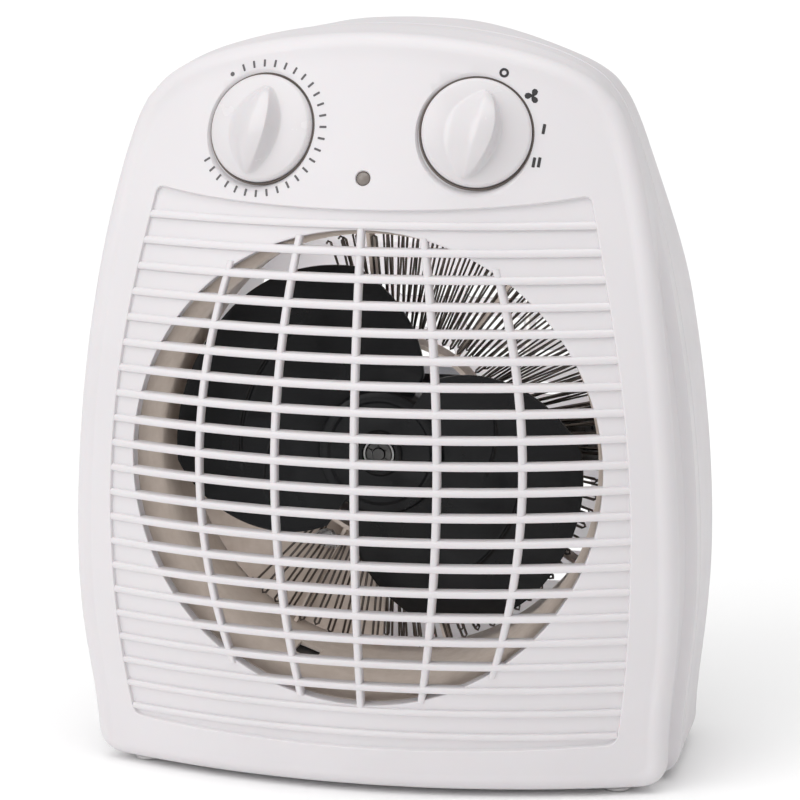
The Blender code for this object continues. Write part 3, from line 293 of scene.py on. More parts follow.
GREY_INK = moulded("dial_ink_grey", (0.060, 0.055, 0.058), (0.120, 0.112, 0.116), 0.45, 0.6, 0.004)
INSULATION = moulded("silicone_lead", (0.72, 0.70, 0.68), (0.64, 0.62, 0.60), 0.45, 0.6, 0.012)
STEEL = metal("zinc_steel", (0.60, 0.60, 0.59), (0.48, 0.49, 0.50), 0.24, 0.42)
BRASS = metal("plain_brass", (0.72, 0.52, 0.24), (0.60, 0.42, 0.18), 0.25, 0.42)
DARK_STEEL = metal("blackened_steel", (0.10, 0.10, 0.10), (0.16, 0.155, 0.15), 0.30, 0.45)
WIRE = metal("nickel_chrome_wire", (0.085, 0.075, 0.068), (0.20, 0.18, 0.165), 0.30, 0.45, (1, 1, 1), 0.02)
LAMINATION = metal("laminated_steel", (0.20, 0.21, 0.23), (0.30, 0.30, 0.31), 0.38, 0.55, (0.1, 14, 0.1),
                   0.06)
COPPER = metal("enamelled_copper", (0.50, 0.17, 0.06), (0.62, 0.25, 0.10), 0.25, 0.40, (0.2, 6, 0.2), 0.08)


def board(name, first, second, scale):
    """Pressed mica or unglazed ceramic: flaky mottling with a soft sheen."""
    made = Nodes(name, first, 0.55)
    made.colors(made.noise(scale, 5), first, second)
    made.rough(made.noise(scale * 3, 3), 0.45, 0.7)
    made.bump(made.noise(scale * 2, 5), 0.04 * MM, 0.6)
    return made.material


MICA = board("pressed_mica", (0.56, 0.49, 0.435), (0.50, 0.43, 0.375), 220)
PALE_MICA = board("pale_mica", (0.66, 0.575, 0.515), (0.58, 0.495, 0.435), 260)
CERAMIC = board("steatite", (0.78, 0.74, 0.66), (0.72, 0.67, 0.58), 300)
LAMP = moulded("lamp_lens", (0.200, 0.172, 0.155), (0.250, 0.220, 0.200), 0.22, 0.3, 0.002,
               Transmission_Weight=0.08, IOR=1.5)


# Mesh helpers

def placed(name, data):
    """An object in the scene that holds a mesh, a light or a camera."""
    made = bpy.data.objects.new(name, data)
    bpy.context.scene.collection.objects.link(made)
    return made


def shade(mesh, angle):
    mesh.shade_smooth()
    mesh.set_sharp_from_angle(angle=math.radians(angle))


def add_object(name, mesh, finish, nodes=(), body="housing", sharp=32):
    """A piece of the visual model. Edges of more than `sharp` degrees look sharp; None leaves its shading."""
    made = placed(name, mesh)
    if sharp:
        shade(mesh, sharp)
    mesh.materials.clear()
    mesh.materials.append(finish)
    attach(made, body)
    if nodes:
        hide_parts(*nodes)


def mesh_of(build):
    mesh = bpy.data.meshes.new("mesh")
    body = bmesh.new()
    build(body)
    bmesh.ops.recalc_face_normals(body, faces=body.faces)
    body.to_mesh(mesh)
    body.free()
    return mesh


def strip_faces(body, rows, closed_rows=False, closed_ring=True):
    """Quads between rows of equally many vertices."""
    count = len(rows[0])
    for first in range(len(rows) if closed_rows else len(rows) - 1):
        a, b = rows[first], rows[(first + 1) % len(rows)]
        for i in range(count if closed_ring else count - 1):
            j = (i + 1) % count
            body.faces.new((a[i], a[j], b[j], b[i]))


def loft(rings, closed=False):
    """A skin over rings of points, led back to the first ring or else capped at both ends."""
    def build(body):
        rows = [[body.verts.new(point) for point in ring] for ring in rings]
        strip_faces(body, rows, closed_rows=closed)
        if not closed:
            body.faces.new(rows[0])
            body.faces.new(rows[-1])
    return mesh_of(build)


def circle(radius, steps, x=0.0, y=0.0):
    return [(x + radius * math.cos(2 * math.pi * i / steps), y + radius * math.sin(2 * math.pi * i / steps))
            for i in range(steps)]


def turned(profile, placement, steps, ring=False):
    """A turned solid from (radius, height) pairs; points on the axis close it."""
    def build(body):
        rows = []
        for radius, height in profile:
            around = circle(radius, steps) if radius > 0 else [(0, 0)]
            rows.append([body.verts.new((x, y, height)) for x, y in around])
        pairs = list(zip(rows, rows[1:]))
        if ring:
            pairs.append((rows[-1], rows[0]))
        for a, b in pairs:
            for i in range(steps):
                j = (i + 1) % steps
                corners = [a[i % len(a)], a[j % len(a)], b[j % len(b)], b[i % len(b)]]
                body.faces.new(list(dict.fromkeys(corners)))
    mesh = mesh_of(build)
    mesh.transform(placement)
    return mesh


def prism(loop, bottom, top, placement):
    mesh = loft([[(x, y, height) for x, y in loop] for height in (bottom, top)])
    mesh.transform(placement)
    return mesh


def rounded_rectangle(width, height, radius, steps, x=0.0, y=0.0):
    loop = []
    for quarter, (sx, sy) in enumerate(((1, 1), (-1, 1), (-1, -1), (1, -1))):
        for i in range(steps + 1):
            across, up = polar(radius, 90 * quarter + 90 * i / steps)
            loop.append((x + sx * (width / 2 - radius) + across, y + sy * (height / 2 - radius) + up))
    return loop


def joined(meshes):
    """One mesh that holds several."""
    whole = bmesh.new()
    for mesh in meshes:
        whole.from_mesh(mesh)
    made = bpy.data.meshes.new("joined")
    whole.to_mesh(made)
    whole.free()
    return made


def applied(made):
    """The mesh of an object after its modifiers. The object is removed."""
    bpy.context.view_layer.update()
    graph = bpy.context.evaluated_depsgraph_get()
    mesh = bpy.data.meshes.new_from_object(made.evaluated_get(graph))
    bpy.data.objects.remove(made)
    return mesh


def combined(mesh, *steps):
    """The mesh after Boolean steps, each (operation, meshes)."""
    base = placed("boolean_base", mesh)
    groups = []
    for operation, meshes in steps:
        group = bpy.data.collections.new("boolean_helpers")
        groups.append(group)
        for part in meshes:
            group.objects.link(bpy.data.objects.new("boolean_helper", part))
        bpy.context.scene.collection.children.link(group)
        modifier = base.modifiers.new(operation, "BOOLEAN")
        modifier.operation = operation
        modifier.operand_type = "COLLECTION"
        modifier.collection = group
        modifier.solver = "MANIFOLD"
    made = applied(base)
    for group in groups:
        for helper in list(group.objects):
            bpy.data.objects.remove(helper)
        bpy.data.collections.remove(group)
    return made


# Outlines

def bezier(knots, count):
    """Points along a Bezier arc, without its last one."""
    return [(point.x, point.y) for point in interpolate_bezier(*knots, count)[:-1]]


def outline(arcs):
    right = []
    for arc, count in zip(arcs, SIDE_POINTS):
        right += bezier([Vector((x, z, 0)) * MM for x, z in arc], count + 1)
    last_x, last_z = arcs[-1][-1][0] * MM, arcs[-1][-1][1] * MM
    right += [(last_x * (1 - i / BOTTOM_POINTS), last_z) for i in range(BOTTOM_POINTS + 1)]
    left = [(-x, z) for x, z in reversed(right[1:-1])]
    return right + left


def inset(loop, distances):
    moved = []
    for i, (x, z) in enumerate(loop):
        before, after = loop[i - 1], loop[(i + 1) % len(loop)]
        along = Vector((after[0] - before[0], after[1] - before[1])).normalized()
        moved.append((x + along.y * distances[i], z - along.x * distances[i]))
    return moved


def same(loop, distance):
    return inset(loop, [distance] * len(loop))


def scaled(loop, size):
    return [(x * size, BACK_MIDDLE + (z - BACK_MIDDLE) * size) for x, z in loop]


def blend(first, second, share):
    return [(a[0] + (b[0] - a[0]) * share, a[1] + (b[1] - a[1]) * share) for a, b in zip(first, second)]


def between(first, second, shares):
    """Rings of points between two rings."""
    return [[tuple(Vector(a).lerp(Vector(b), share)) for a, b in zip(first, second)] for share in shares]


def on_face(loop, behind=0.0):
    return [(x, face_y(x, z) + behind, z) for x, z in loop]


def at_depth(loop, depth):
    return [(x, depth_y(depth), z) for x, z in loop]


FRONT_LOOP = outline(FRONT_OUTLINE)
BODY_LOOP = outline(BODY_OUTLINE)


def towards(point):
    """Direction from the middle of the opening."""
    return math.atan2(point[1] - OPENING_HEIGHT, point[0])


def opening_loop(radius):
    angles = [towards(point) for point in FRONT_LOOP]
    return [(radius * math.cos(angle), OPENING_HEIGHT + radius * math.sin(angle)) for angle in angles]


# The recessed field that the bars cross, as (x, z) above the apex of the front, down the right side
FIELD_ARCS = (
    ((0, 90.3), (30, 90.3), (55, 92.0), (69.5, 94.6)),
    ((69.5, 94.6), (72.3, 95.0), (73.4, 93.5), (73.7, 91)),
    ((73.7, 91), (80.3, 61), (87.6, 30), (88.6, -15)),
    ((88.6, -15), (88.6, -50), (87.0, -65), (84.4, -84)),
    ((84.4, -84), (83.9, -87.2), (82.5, -88.6), (79, -88.8)),
    ((79, -88.8), (50, -90.2), (25, -90.8), (0, -90.8)),
)


def field_outline(count=60):
    right = []
    for arc in FIELD_ARCS:
        right += bezier([Vector((x * MM, APEX_HEIGHT + z * MM, 0)) for x, z in arc], count)
    last = FIELD_ARCS[-1][-1]
    right.append((last[0] * MM, APEX_HEIGHT + last[1] * MM))
    return right + [(-x, z) for x, z in reversed(right[1:-1])]


FIELD = field_outline()


def field_loop():
    """The field's border in the direction of each point of the outline."""
    angles = sorted((towards(p), p) for p in FIELD)
    (low, first), (high, last) = angles[0], angles[-1]
    angles = [(high - 2 * math.pi, last), *angles, (low + 2 * math.pi, first)]
    loop = []
    for point in FRONT_LOOP:
        wanted = towards(point)
        for (a, p), (b, q) in zip(angles, angles[1:]):
            if a <= wanted <= b:
                share = (wanted - a) / (b - a) if b > a else 0
                loop += blend([p], [q], share)
                break
    return loop


def field_width(z):
    """Half the width of the field at a height."""
    right = FIELD[:len(FIELD) // 2 + 1]
    best = 0.0
    for (x1, z1), (x2, z2) in zip(right, right[1:]):
        if (z1 - z) * (z2 - z) <= 0 and z1 != z2:
            best = max(best, x1 + (x2 - x1) * (z - z1) / (z2 - z1))
    return best


# Front moulding

def scoop_depths():
    depths = []
    for x, z in FRONT_LOOP:
        below_shoulder = smooth((212 * MM - z) / (60 * MM))
        beside = smooth((abs(x) - 88 * MM) / (8 * MM))
        depths.append(SCOOP_DEPTH * below_shoulder * beside)
    return depths


def front_rings():
    """Rings of the front moulding from the rim of the opening over the face to the seam, and back inside."""
    scoop = scoop_depths()
    edge = same(FRONT_LOOP, FRONT_ROUNDING)
    edge_y = [face_y(x, z) for x, z in edge]
    border = field_loop()

    def behind_edge(loop, behind):
        return [(x, y + behind, z) for (x, z), y in zip(loop, edge_y)]

    def around(radius, behind):
        return on_face(opening_loop(radius), behind)

    def scooped(share, depth):
        """The body's outline at a depth, moved in by a share of the scoop."""
        return at_depth(inset(BODY_LOOP, [share * cut for cut in scoop]), depth)

    back = around(OPENING_RADIUS - RIM_DRAFT, RIM_DEPTH)
    front = around(OPENING_RADIUS, RECESS + 0.5 * MM)
    rings = [back, *between(back, front, [i / 6 for i in range(1, 6)]), front]
    rings.append(around(OPENING_RADIUS + 0.15 * MM, RECESS + 0.15 * MM))
    rings.append(around(OPENING_RADIUS + 0.5 * MM, RECESS))
    near = opening_loop(OPENING_RADIUS + 1.0 * MM)
    floor_edge = same(border, 1.3 * MM)
    rings += [on_face(blend(near, floor_edge, i / 8), RECESS) for i in range(9)]
    for distance, sunk in ((1.0, 0.93), (0.8, 0.7), (0.65, 0.4), (0.45, 0.12), (0.2, 0.0)):
        rings.append(on_face(same(border, distance * MM), sunk * RECESS))
    rings += [on_face(blend(border, edge, i / 12)) for i in range(13)]
    for i in range(1, 9):
        turn = math.radians(90 - 11.25 * i)
        sunk = FRONT_ROUNDING * (1 - math.sin(turn))
        rings.append(behind_edge(same(FRONT_LOOP, FRONT_ROUNDING * (1 - math.cos(turn))), sunk))
    lip = inset(FRONT_LOOP, [0.35 * cut for cut in scoop])
    rings.append(behind_edge(lip, FRONT_ROUNDING + 0.7 * MM))
    groove = behind_edge(inset(FRONT_LOOP, scoop), FRONT_ROUNDING + 1.9 * MM)
    shelf = scooped(0.8, RIDGE_DEPTH - 2 * MM)
    for i in range(9):
        share = i / 8
        ring = []
        for a, b, cut in zip(groove, shelf, scoop):
            hollow = 0.9 * MM * math.sin(math.pi * share) * cut / SCOOP_DEPTH
            point = Vector(a).lerp(Vector(b), share)
            aside = Vector((point.x, 0, point.z - BACK_MIDDLE)).normalized()
            ring.append(tuple(point - aside * hollow))
        rings.append(ring)
    inner_side = [WALL + cut for cut in scoop]
    inner_edge = same(FRONT_LOOP, FRONT_ROUNDING + 0.6 * WALL)
    inner_hole = opening_loop(OPENING_RADIUS + WALL)
    rings += [
        scooped(0.25, RIDGE_DEPTH - 0.7 * MM),
        at_depth(BODY_LOOP, RIDGE_DEPTH + 0.5 * MM),
        at_depth(BODY_LOOP, SEAM_DEPTH - 0.8 * MM),
        at_depth(same(BODY_LOOP, 0.35 * MM), SEAM_DEPTH - 0.25 * MM),
        at_depth(same(BODY_LOOP, 0.9 * MM), SEAM_DEPTH),
        at_depth(same(BODY_LOOP, WALL), SEAM_DEPTH),
        at_depth(inset(BODY_LOOP, inner_side), RIDGE_DEPTH - 1 * MM),
        behind_edge(inset(FRONT_LOOP, inner_side), FRONT_ROUNDING + 1.6 * MM),
        behind_edge(inner_edge, WALL + 0.4 * MM),
    ]
    rings += [on_face(blend(inner_edge, inner_hole, i / 5), WALL + 0.9 * MM) for i in range(1, 6)]
    rings.append(on_face(inner_hole, RIM_DEPTH))
    return rings


# Sections of the bars, as (across, behind the face)
BAR_PROFILE = in_mm((-1.3, 4.2), (-1.3, 1.5), (-1.22, 0.9), (-1.0, 0.45), (-0.65, 0.27), (-0.22, 0.16),
                    (0.22, 0.16), (0.65, 0.27), (1.0, 0.45), (1.22, 0.9), (1.3, 1.5), (1.3, 4.2))
UPRIGHT_PROFILE = in_mm((-1.2, 4.1), (-1.2, 1.7), (-1.1, 1.2), (-0.85, 0.8), (-0.5, 0.58), (0.5, 0.58),
                        (0.85, 0.8), (1.1, 1.2), (1.2, 1.7), (1.2, 4.1))


def level_bar(z, half, stations=56):
    """A bar along the bow of the front, with a rounded front edge."""
    rings = []
    for i in range(stations + 1):
        x = half * (2 * i / stations - 1)
        rings.append([(x, face_y(x, z + up) + behind, z + up) for up, behind in BAR_PROFILE])
    return loft(rings)


def upright_x(index, z):
    away = z - OPENING_HEIGHT
    return (index - (UPRIGHTS - 1) / 2) * UPRIGHT_SPACING * (1 - UPRIGHT_BULGE * away * away)


def upright_bar(index, stations=60):
    """An upright bar, leaning in towards the top and bottom, set a little behind the level bars."""
    edge = OPENING_RADIUS + 0.8 * MM
    end = min(math.sqrt(edge * edge - upright_x(index, OPENING_HEIGHT) ** 2 * UPRIGHT_END_SHARE), edge)
    rings = []
    for i in range(stations + 1):
        z = OPENING_HEIGHT + end * (2 * i / stations - 1)
        places = [(upright_x(index, z) + across, behind) for across, behind in UPRIGHT_PROFILE]
        rings.append([(x, face_y(x, z) + behind, z) for x, behind in places])
    return loft(rings)


def well_cutters(side):
    """A shallow round well for a knob, and a dished mouth that is widest at its lower left."""
    place = knob_frame(side)
    floor = -2.4 * MM
    well = [(0, floor), (WELL_RADIUS - 0.3 * MM, floor), (WELL_RADIUS, floor + 0.3 * MM),
            (WELL_RADIUS, 5 * MM), (0, 5 * MM)]
    mouth = in_mm((0, -1.9), (18.0, -1.9), (18.7, -1.2), (19.5, -0.55), (20.3, -0.12), (21.2, 0.2),
                  (21.2, 5), (0, 5))
    aside = place @ Matrix.Translation((-0.8 * MM, -0.8 * MM, 0))
    return [turned(well, place, KNOB_STEPS), turned(mouth, aside, KNOB_STEPS)]


def well_boss(side):
    """The thick disc behind a knob."""
    return turned(in_mm((0, -1.8), (20.4, -1.8), (20.4, -4.4), (0, -4.4)), knob_frame(side), 64)


def spindle_hole(side):
    return turned(in_mm((0, 3), (3.8, 3), (3.8, -12), (0, -12)), knob_frame(side), 40)


def foot_holes(moulding):
    """The holes in a moulding, front or rear, for the pegs of its feet."""
    return [prism(circle(FOOT_PEG_HOLE, 24), -3 * MM, 5 * MM,
                  Matrix.Translation((x * MM, depth_y(depth * MM), UNDERSIDE)))
            for name, (x, depth) in FEET.items() if moulding in name]


def front_moulding():
    bars = []
    for i in range(FIRST_BAR, LAST_BAR + 1):
        z = OPENING_HEIGHT + (i - MIDDLE_BAR) * BAR_PITCH
        half = min(field_width(z - BAR_HEIGHT / 2), field_width(z + BAR_HEIGHT / 2)) - 0.1 * MM
        bars.append(level_bar(z, half))
    bars += [upright_bar(k) for k in range(UPRIGHTS)]
    wide, narrow = LAMP_RADIUS + 0.5 * MM, LAMP_RADIUS + 0.1 * MM
    lamp = [(0, 1 * MM), (wide, 1 * MM), (wide, 0.1 * MM), (narrow, -0.4 * MM), (narrow, -6 * MM),
            (0, -6 * MM)]
    holes = [*well_cutters(-1), *well_cutters(1), turned(lamp, face_frame(0, LAMP_HEIGHT), 48),
             *foot_holes("front")]
    mesh = combined(loft(front_rings(), closed=True), ("UNION", bars + [well_boss(-1), well_boss(1)]),
                    ("DIFFERENCE", holes), ("DIFFERENCE", [spindle_hole(-1), spindle_hole(1)]))
    add_object("front_moulding", mesh, WHITE, ["front_shell"])


# Rear moulding

SLOT_ROWS, SLOT_COLUMNS = 10, 5
SLOT_HEIGHT, SLOT_WIDTH = 4.8 * MM, 21 * MM
SLOT_PITCH_X, SLOT_PITCH_Z = 25 * MM, 11.4 * MM
SLOTS_MIDDLE = 104 * MM
BACK_CENTRE = 110 * MM
GRIP_WIDTH, GRIP_DEPTH = 90 * MM, 26 * MM
GRIP_BOTTOM, GRIP_TOP = 178 * MM, 206 * MM
INLET_X, INLET_HEIGHT, INLET_RADIUS = -52 * MM, 30 * MM, 5 * MM
HOUSING_POSTS = in_mm((-60, 197), (60, 197), (-74, 26), (74, 26))
HOUSING_WELL = 12 * MM
POST_RADIUS, SCREW_BORE = 6 * MM, 1.8 * MM
WELL_BORE, WELL_MOUTH = 4.2 * MM, 4.9 * MM


def tub(loop, rounding, first, steps=14):
    """Rings from a first depth to the rounded back."""
    taper = [SHOULDER_TAPER * smooth((z - 160 * MM) / (55 * MM)) * smooth((abs(x) - 15 * MM) / (45 * MM))
             for x, z in loop]
    tapered = inset(loop, taper)
    rings = [at_depth(loop, first)]
    for share in (0.25, 0.5, 0.75):
        depth = first + (BODY_DEPTH - REAR_ROUNDING - first) * share
        rings.append(at_depth(blend(loop, tapered, share), depth))
    for i in range(steps + 1):
        turn = math.pi / 2 * i / steps
        size = 1 - REAR_NARROWING * (1 - math.cos(turn))
        depth = BODY_DEPTH - REAR_ROUNDING + rounding * math.sin(turn)
        rings.append(at_depth(scaled(tapered, size), depth))
    return rings


def rear_moulding():
    start = SEAM_DEPTH + 0.3 * MM
    outer = [at_depth(same(BODY_LOOP, 0.9 * MM), start),
             at_depth(same(BODY_LOOP, 0.35 * MM), start + 0.25 * MM),
             *tub(BODY_LOOP, REAR_ROUNDING, start + 0.8 * MM)]
    inner = tub(same(BODY_LOOP, WALL), REAR_ROUNDING - WALL, start)
    flat = outer[-1]
    middle = (0, flat[0][1], BACK_CENTRE)
    outer += between([middle] * len(flat), flat, (0.98, 0.6, 0.3))
    back = facing_front(BODY_DEPTH, 0, 0)
    adds, cuts, mouths, holes = [], [], [], []

    def through(into, loop, low, high):
        """Adds a prism through the back wall. Heights count forwards from the back."""
        into.append(prism(loop, low, high, back))

    def grip(more, radius):
        return rounded_rectangle(GRIP_WIDTH + more, GRIP_TOP - GRIP_BOTTOM + more, radius, 8,
                                 0, (GRIP_BOTTOM + GRIP_TOP) / 2)

    through(adds, grip(2 * WALL, 7 * MM), WALL / 2, GRIP_DEPTH + WALL)
    through(cuts, grip(0, 5 * MM), -4 * MM, GRIP_DEPTH)
    through(mouths, grip(1.6 * MM, 5.8 * MM), -0.6 * MM, 4 * MM)
    for x, z in HOUSING_POSTS:
        through(adds, circle(POST_RADIUS, 48, x, z), WALL / 2, HOUSING_WELL + WALL)
        through(cuts, circle(WELL_BORE, 48, x, z), -2 * MM, HOUSING_WELL)
        through(mouths, circle(WELL_MOUTH, 48, x, z), -2 * MM, 0.5 * MM)
    for row in range(SLOT_ROWS):
        for column in range(SLOT_COLUMNS):
            x = (column - (SLOT_COLUMNS - 1) / 2) * SLOT_PITCH_X
            z = SLOTS_MIDDLE + (row - (SLOT_ROWS - 1) / 2) * SLOT_PITCH_Z
            wider = 1.2 * MM
            through(cuts, rounded_rectangle(SLOT_WIDTH, SLOT_HEIGHT, 2.2 * MM, 6, x, z), -3 * MM, 5 * MM)
            through(mouths, rounded_rectangle(SLOT_WIDTH + wider, SLOT_HEIGHT + wider, 2.8 * MM, 6, x, z),
                    -3 * MM, 0.5 * MM)
    through(cuts, circle(INLET_RADIUS + 2.3 * MM, 48, INLET_X, INLET_HEIGHT), -2 * MM, 1.2 * MM)
    through(holes, circle(INLET_RADIUS, 48, INLET_X, INLET_HEIGHT), 0, 5 * MM)
    for x, z in HOUSING_POSTS:
        through(holes, circle(SCREW_BORE, 24, x, z), HOUSING_WELL - 2 * MM, HOUSING_WELL + 4 * MM)
    holes += foot_holes("rear")
    mesh = combined(loft(outer[::-1] + inner), ("UNION", adds), ("DIFFERENCE", cuts), ("DIFFERENCE", mouths),
                    ("DIFFERENCE", holes))
    add_object("rear_moulding", mesh, WHITE, ["rear_shell"])


# Controls

RIDGE_TIP, RIDGE_TAIL = 13.6 * MM, 15.8 * MM
RIDGE_RISE = 6.5 * MM
RIDGE_FLANK = 2.6 * MM
KNOB_STEPS = 144
SCALE_RADIUS, SIGN_RADIUS = 21.6 * MM, 21.4 * MM
INK_PROUD, INK_HALF = 0.03 * MM, 0.05 * MM


def knob_height(x, y):
    """Height of a knob's face: a low dome and a leaf-shaped ridge with hollow flanks that points along +Y."""
    radius = math.hypot(x, y) / KNOB_RADIUS
    dome = 1.3 * MM + 1.9 * MM * (1 - radius ** 2)
    if radius > 0.94:
        dome -= 0.9 * MM * ((radius - 0.94) / 0.06) ** 2
    along = y / (RIDGE_TIP if y > 0 else RIDGE_TAIL)
    if abs(along) >= 1:
        return dome
    fullness = 1 - along * along
    half = (0.3 + 4.2 * fullness ** 0.85) * MM
    rise = RIDGE_RISE * (fullness ** 0.55 if y > 0 else fullness ** 0.7)
    across = x - 0.9 * MM * fullness
    if across < 0:
        return dome + rise * (1 - smooth(-across / (half + (1.5 + 5.5 * fullness) * MM)))
    crown = 0.35 * MM * min((across / half) ** 2, 1.0)
    beyond = (across - half) / (RIDGE_FLANK * (0.35 + 0.65 * fullness))
    if beyond <= 0:
        return dome + rise - crown
    if beyond >= 1:
        return dome
    return dome + max(rise - crown, 0.0) * (1 - beyond) ** 1.7


def knob(name, side, pointing, body):
    """A knob that points so many degrees clockwise from up."""
    rings, steps = 96, 256

    def build(cap):
        def ring(radius, height):
            row = []
            for i in range(steps):
                x, y = polar(radius, 360 * i / steps)
                row.append(cap.verts.new((x, y, height(x, y))))
            return row

        middle = cap.verts.new((0, 0, knob_height(0, 0)))
        rows = [ring(KNOB_RADIUS * (r / rings) ** 0.92, knob_height) for r in range(1, rings + 1)]
        base, inside, bore = -1.7 * MM, KNOB_RADIUS - 1.2 * MM, 3.3 * MM
        for radius, level in ((KNOB_RADIUS, base), (inside, base), (inside, 0.0), (bore, 0.0), (bore, base)):
            rows.append(ring(radius, lambda x, y, level=level: level))
        for i in range(steps):
            cap.faces.new((middle, rows[0][i], rows[0][(i + 1) % steps]))
        strip_faces(cap, rows)
        cap.faces.new(rows[-1])

    mesh = mesh_of(build)
    mesh.transform(knob_frame(side) @ turn_z(-pointing))
    add_object(name, mesh, KNOB_WHITE, [name.replace("_cap", "_knob")], body, 48)


def knob_gap_shade(name, side):
    """The dark ring that closes the gap round a knob: painted shade, standing in for the shadow down in the
    gap.
    """
    ring = in_mm((18.58, -0.85), (18.58, -2.36), (17.95, -2.36), (17.95, -0.95), (18.1, -0.75), (18.4, -0.72))
    add_object(name, turned(ring, knob_frame(side), KNOB_STEPS, ring=True), GAP_SHADE)


def spindle(name, side, back, body):
    """A control's spindle with a chamfered end and a turned groove. Its back is given in millimetres."""
    profile = in_mm((0, 6.2), (2.5, 6.2), (3.0, 5.7), (3.0, -9), (2.7, -9.3), (2.7, -10.2), (3.0, -10.5),
                    (3.0, back + 0.5), (2.5, back), (0, back))
    add_object(name + "_turned", turned(profile, knob_frame(side), 48), STEEL, [name], body)


def on_dial(side, radius, angle):
    """Placement of a mark beside a knob, in degrees clockwise from up, with +Y away from the knob."""
    base = knob_frame(side)
    turn = math.radians(angle)
    point = base @ Vector((radius * math.sin(turn), radius * math.cos(turn), 0))
    out = face_normal(point.x, point.z)
    spot = Vector((point.x, face_y(point.x, point.z), point.z)) + out * INK_PROUD
    y_axis = base.to_3x3() @ Vector((math.sin(turn), math.cos(turn), 0))
    y_axis = (y_axis - out * y_axis.dot(out)).normalized()
    x_axis = y_axis.cross(out)
    return Matrix.Translation(spot) @ Matrix((x_axis, y_axis, out)).transposed().to_4x4()


def upright_mark(side, radius, angle):
    """The same spot, but with +Y up."""
    spot = on_dial(side, radius, angle).translation
    return face_frame(spot.x, spot.z) @ Matrix.Translation((0, 0, INK_PROUD))


def printed(loop, place):
    return prism(loop, -INK_HALF, INK_HALF, place)


def dial_marks():
    """Printed marks: a heat scale round the left knob, and off, fan, low and high at the right one."""
    ticks = [printed(circle(0.75 * MM, 20), on_dial(-1, SCALE_RADIUS, -36))]
    tick = rounded_rectangle(0.72 * MM, 2.4 * MM, 0.2 * MM, 3)
    ticks += [printed(tick, on_dial(-1, SCALE_RADIUS, -24 + 10.1 * i)) for i in range(27)]
    add_object("heat_scale", joined(ticks), GREY_INK, sharp=None)

    off_ring = [(1.55 * MM, INK_HALF), (1.55 * MM, -INK_HALF), (0.75 * MM, -INK_HALF), (0.75 * MM, INK_HALF)]
    marks = [turned(off_ring, upright_mark(1, SIGN_RADIUS, 24), 40, ring=True)]
    spot = upright_mark(1, SIGN_RADIUS, 56)
    marks.append(printed(circle(0.6 * MM, 16), spot))
    blade = in_mm((0.3, 0.0), (0.05, 0.9), (0.4, 1.75), (1.2, 2.1), (1.95, 1.65), (2.15, 0.85), (1.6, 0.1),
                  (0.8, -0.2))
    marks += [printed(blade, spot @ turn_z(120 * k + 16)) for k in range(3)]
    stroke = rounded_rectangle(1.0 * MM, 3.3 * MM, 0.2 * MM, 3)
    slant = turn_z(-12)
    marks.append(printed(stroke, upright_mark(1, SIGN_RADIUS, 87) @ slant))
    for shift in (-0.85 * MM, 0.85 * MM):
        place = upright_mark(1, SIGN_RADIUS, 117) @ Matrix.Translation((shift, 0, 0)) @ slant
        marks.append(printed(stroke, place))
    add_object("switch_marks", joined(marks), INK, sharp=None)


def pilot_lamp():
    lens = [(0, 0.35 * MM)]
    for i in range(1, 9):
        turn = math.pi / 2 * i / 8
        lens.append((LAMP_RADIUS * math.sin(turn), -0.9 * MM + 1.25 * MM * math.cos(turn)))
    lens += [(LAMP_RADIUS, -2.6 * MM), *in_mm((3.6, -2.6), (3.6, -3.6), (0, -3.6))]
    mesh = turned(lens, face_frame(0, LAMP_HEIGHT), 48)
    add_object("pilot_lamp", mesh, LAMP, ["pilot_lamp_lens"])


# Fan

BLADE_FRONT = 35 * MM
BLADE_BACK = 56 * MM
BLADE_THICKNESS = 1.6 * MM
BLADE_TURNS = (0, 180)
# The two ribs: first and last angle in degrees, first and last radius in millimetres
RIBS = ((122, 192, 50.5, 48.0), (166, 206, 35.5, 43.0))


def blade_edges(radius):
    """The angles, in degrees, between which a blade lies at a radius. Both edges sweep in towards the tip."""
    inwards = max(FAN_RADIUS - radius, 0.0) / MM
    return max(110 - 1.12 * inwards, 62), min(180 + 2.7 * inwards ** 0.82, 235)


def crease(radius, angle):
    """How far the two thin stiffening ribs on a blade's front stand up at a place."""
    height = 0.0
    for first, last, inner, outer in RIBS:
        share = (angle - first) / (last - first)
        if 0 < share < 1:
            middle = (inner + (outer - inner) * share) * MM
            away = (radius - middle) / (0.5 * MM)
            rise = 1.1 * MM * math.exp(-away * away)
            height = max(height, rise * smooth(6 * share) * smooth(6 * (1 - share)))
    return height


def blade_mesh(turn):
    """A broad swept paddle that comes forward round the axis, with two thin ribs on its front."""
    radial, around = 180, 60
    root = FAN_HUB_RADIUS - 3 * MM
    middle = (BLADE_FRONT + BLADE_BACK) / 2
    span = BLADE_BACK - BLADE_FRONT - BLADE_THICKNESS

    def build(body):
        sheets = []
        for behind in (0.0, BLADE_THICKNESS):
            rows = []
            for a in range(around + 1):
                share = a / around
                trim = 1 - (0.12 if share < 0.5 else 0.02) * abs(2 * share - 1) ** 3
                row = []
                for r in range(radial + 1):
                    radius = root + (FAN_RADIUS * trim - root) * r / radial
                    start, end = blade_edges(radius)
                    angle = start + (end - start) * share
                    depth = middle + (0.5 - share) * span * (0.35 + 0.65 * radius / FAN_RADIUS) + behind
                    depth += 0.8 * MM * math.sin(math.pi * share) * math.sin(math.pi * r / radial)
                    if not behind:
                        depth -= crease(radius, angle)
                    x, y = polar(radius, angle + turn)
                    row.append(body.verts.new((x, depth_y(depth), OPENING_HEIGHT + y)))
                rows.append(row)
            strip_faces(body, rows, closed_ring=False)
            sheets.append(rows)
        strip_faces(body, [[row[0] for row in rows] + rows[-1][1:] + [row[-1] for row in rows[-2::-1]]
                           + rows[0][-2:0:-1] for rows in sheets])
    return mesh_of(build)


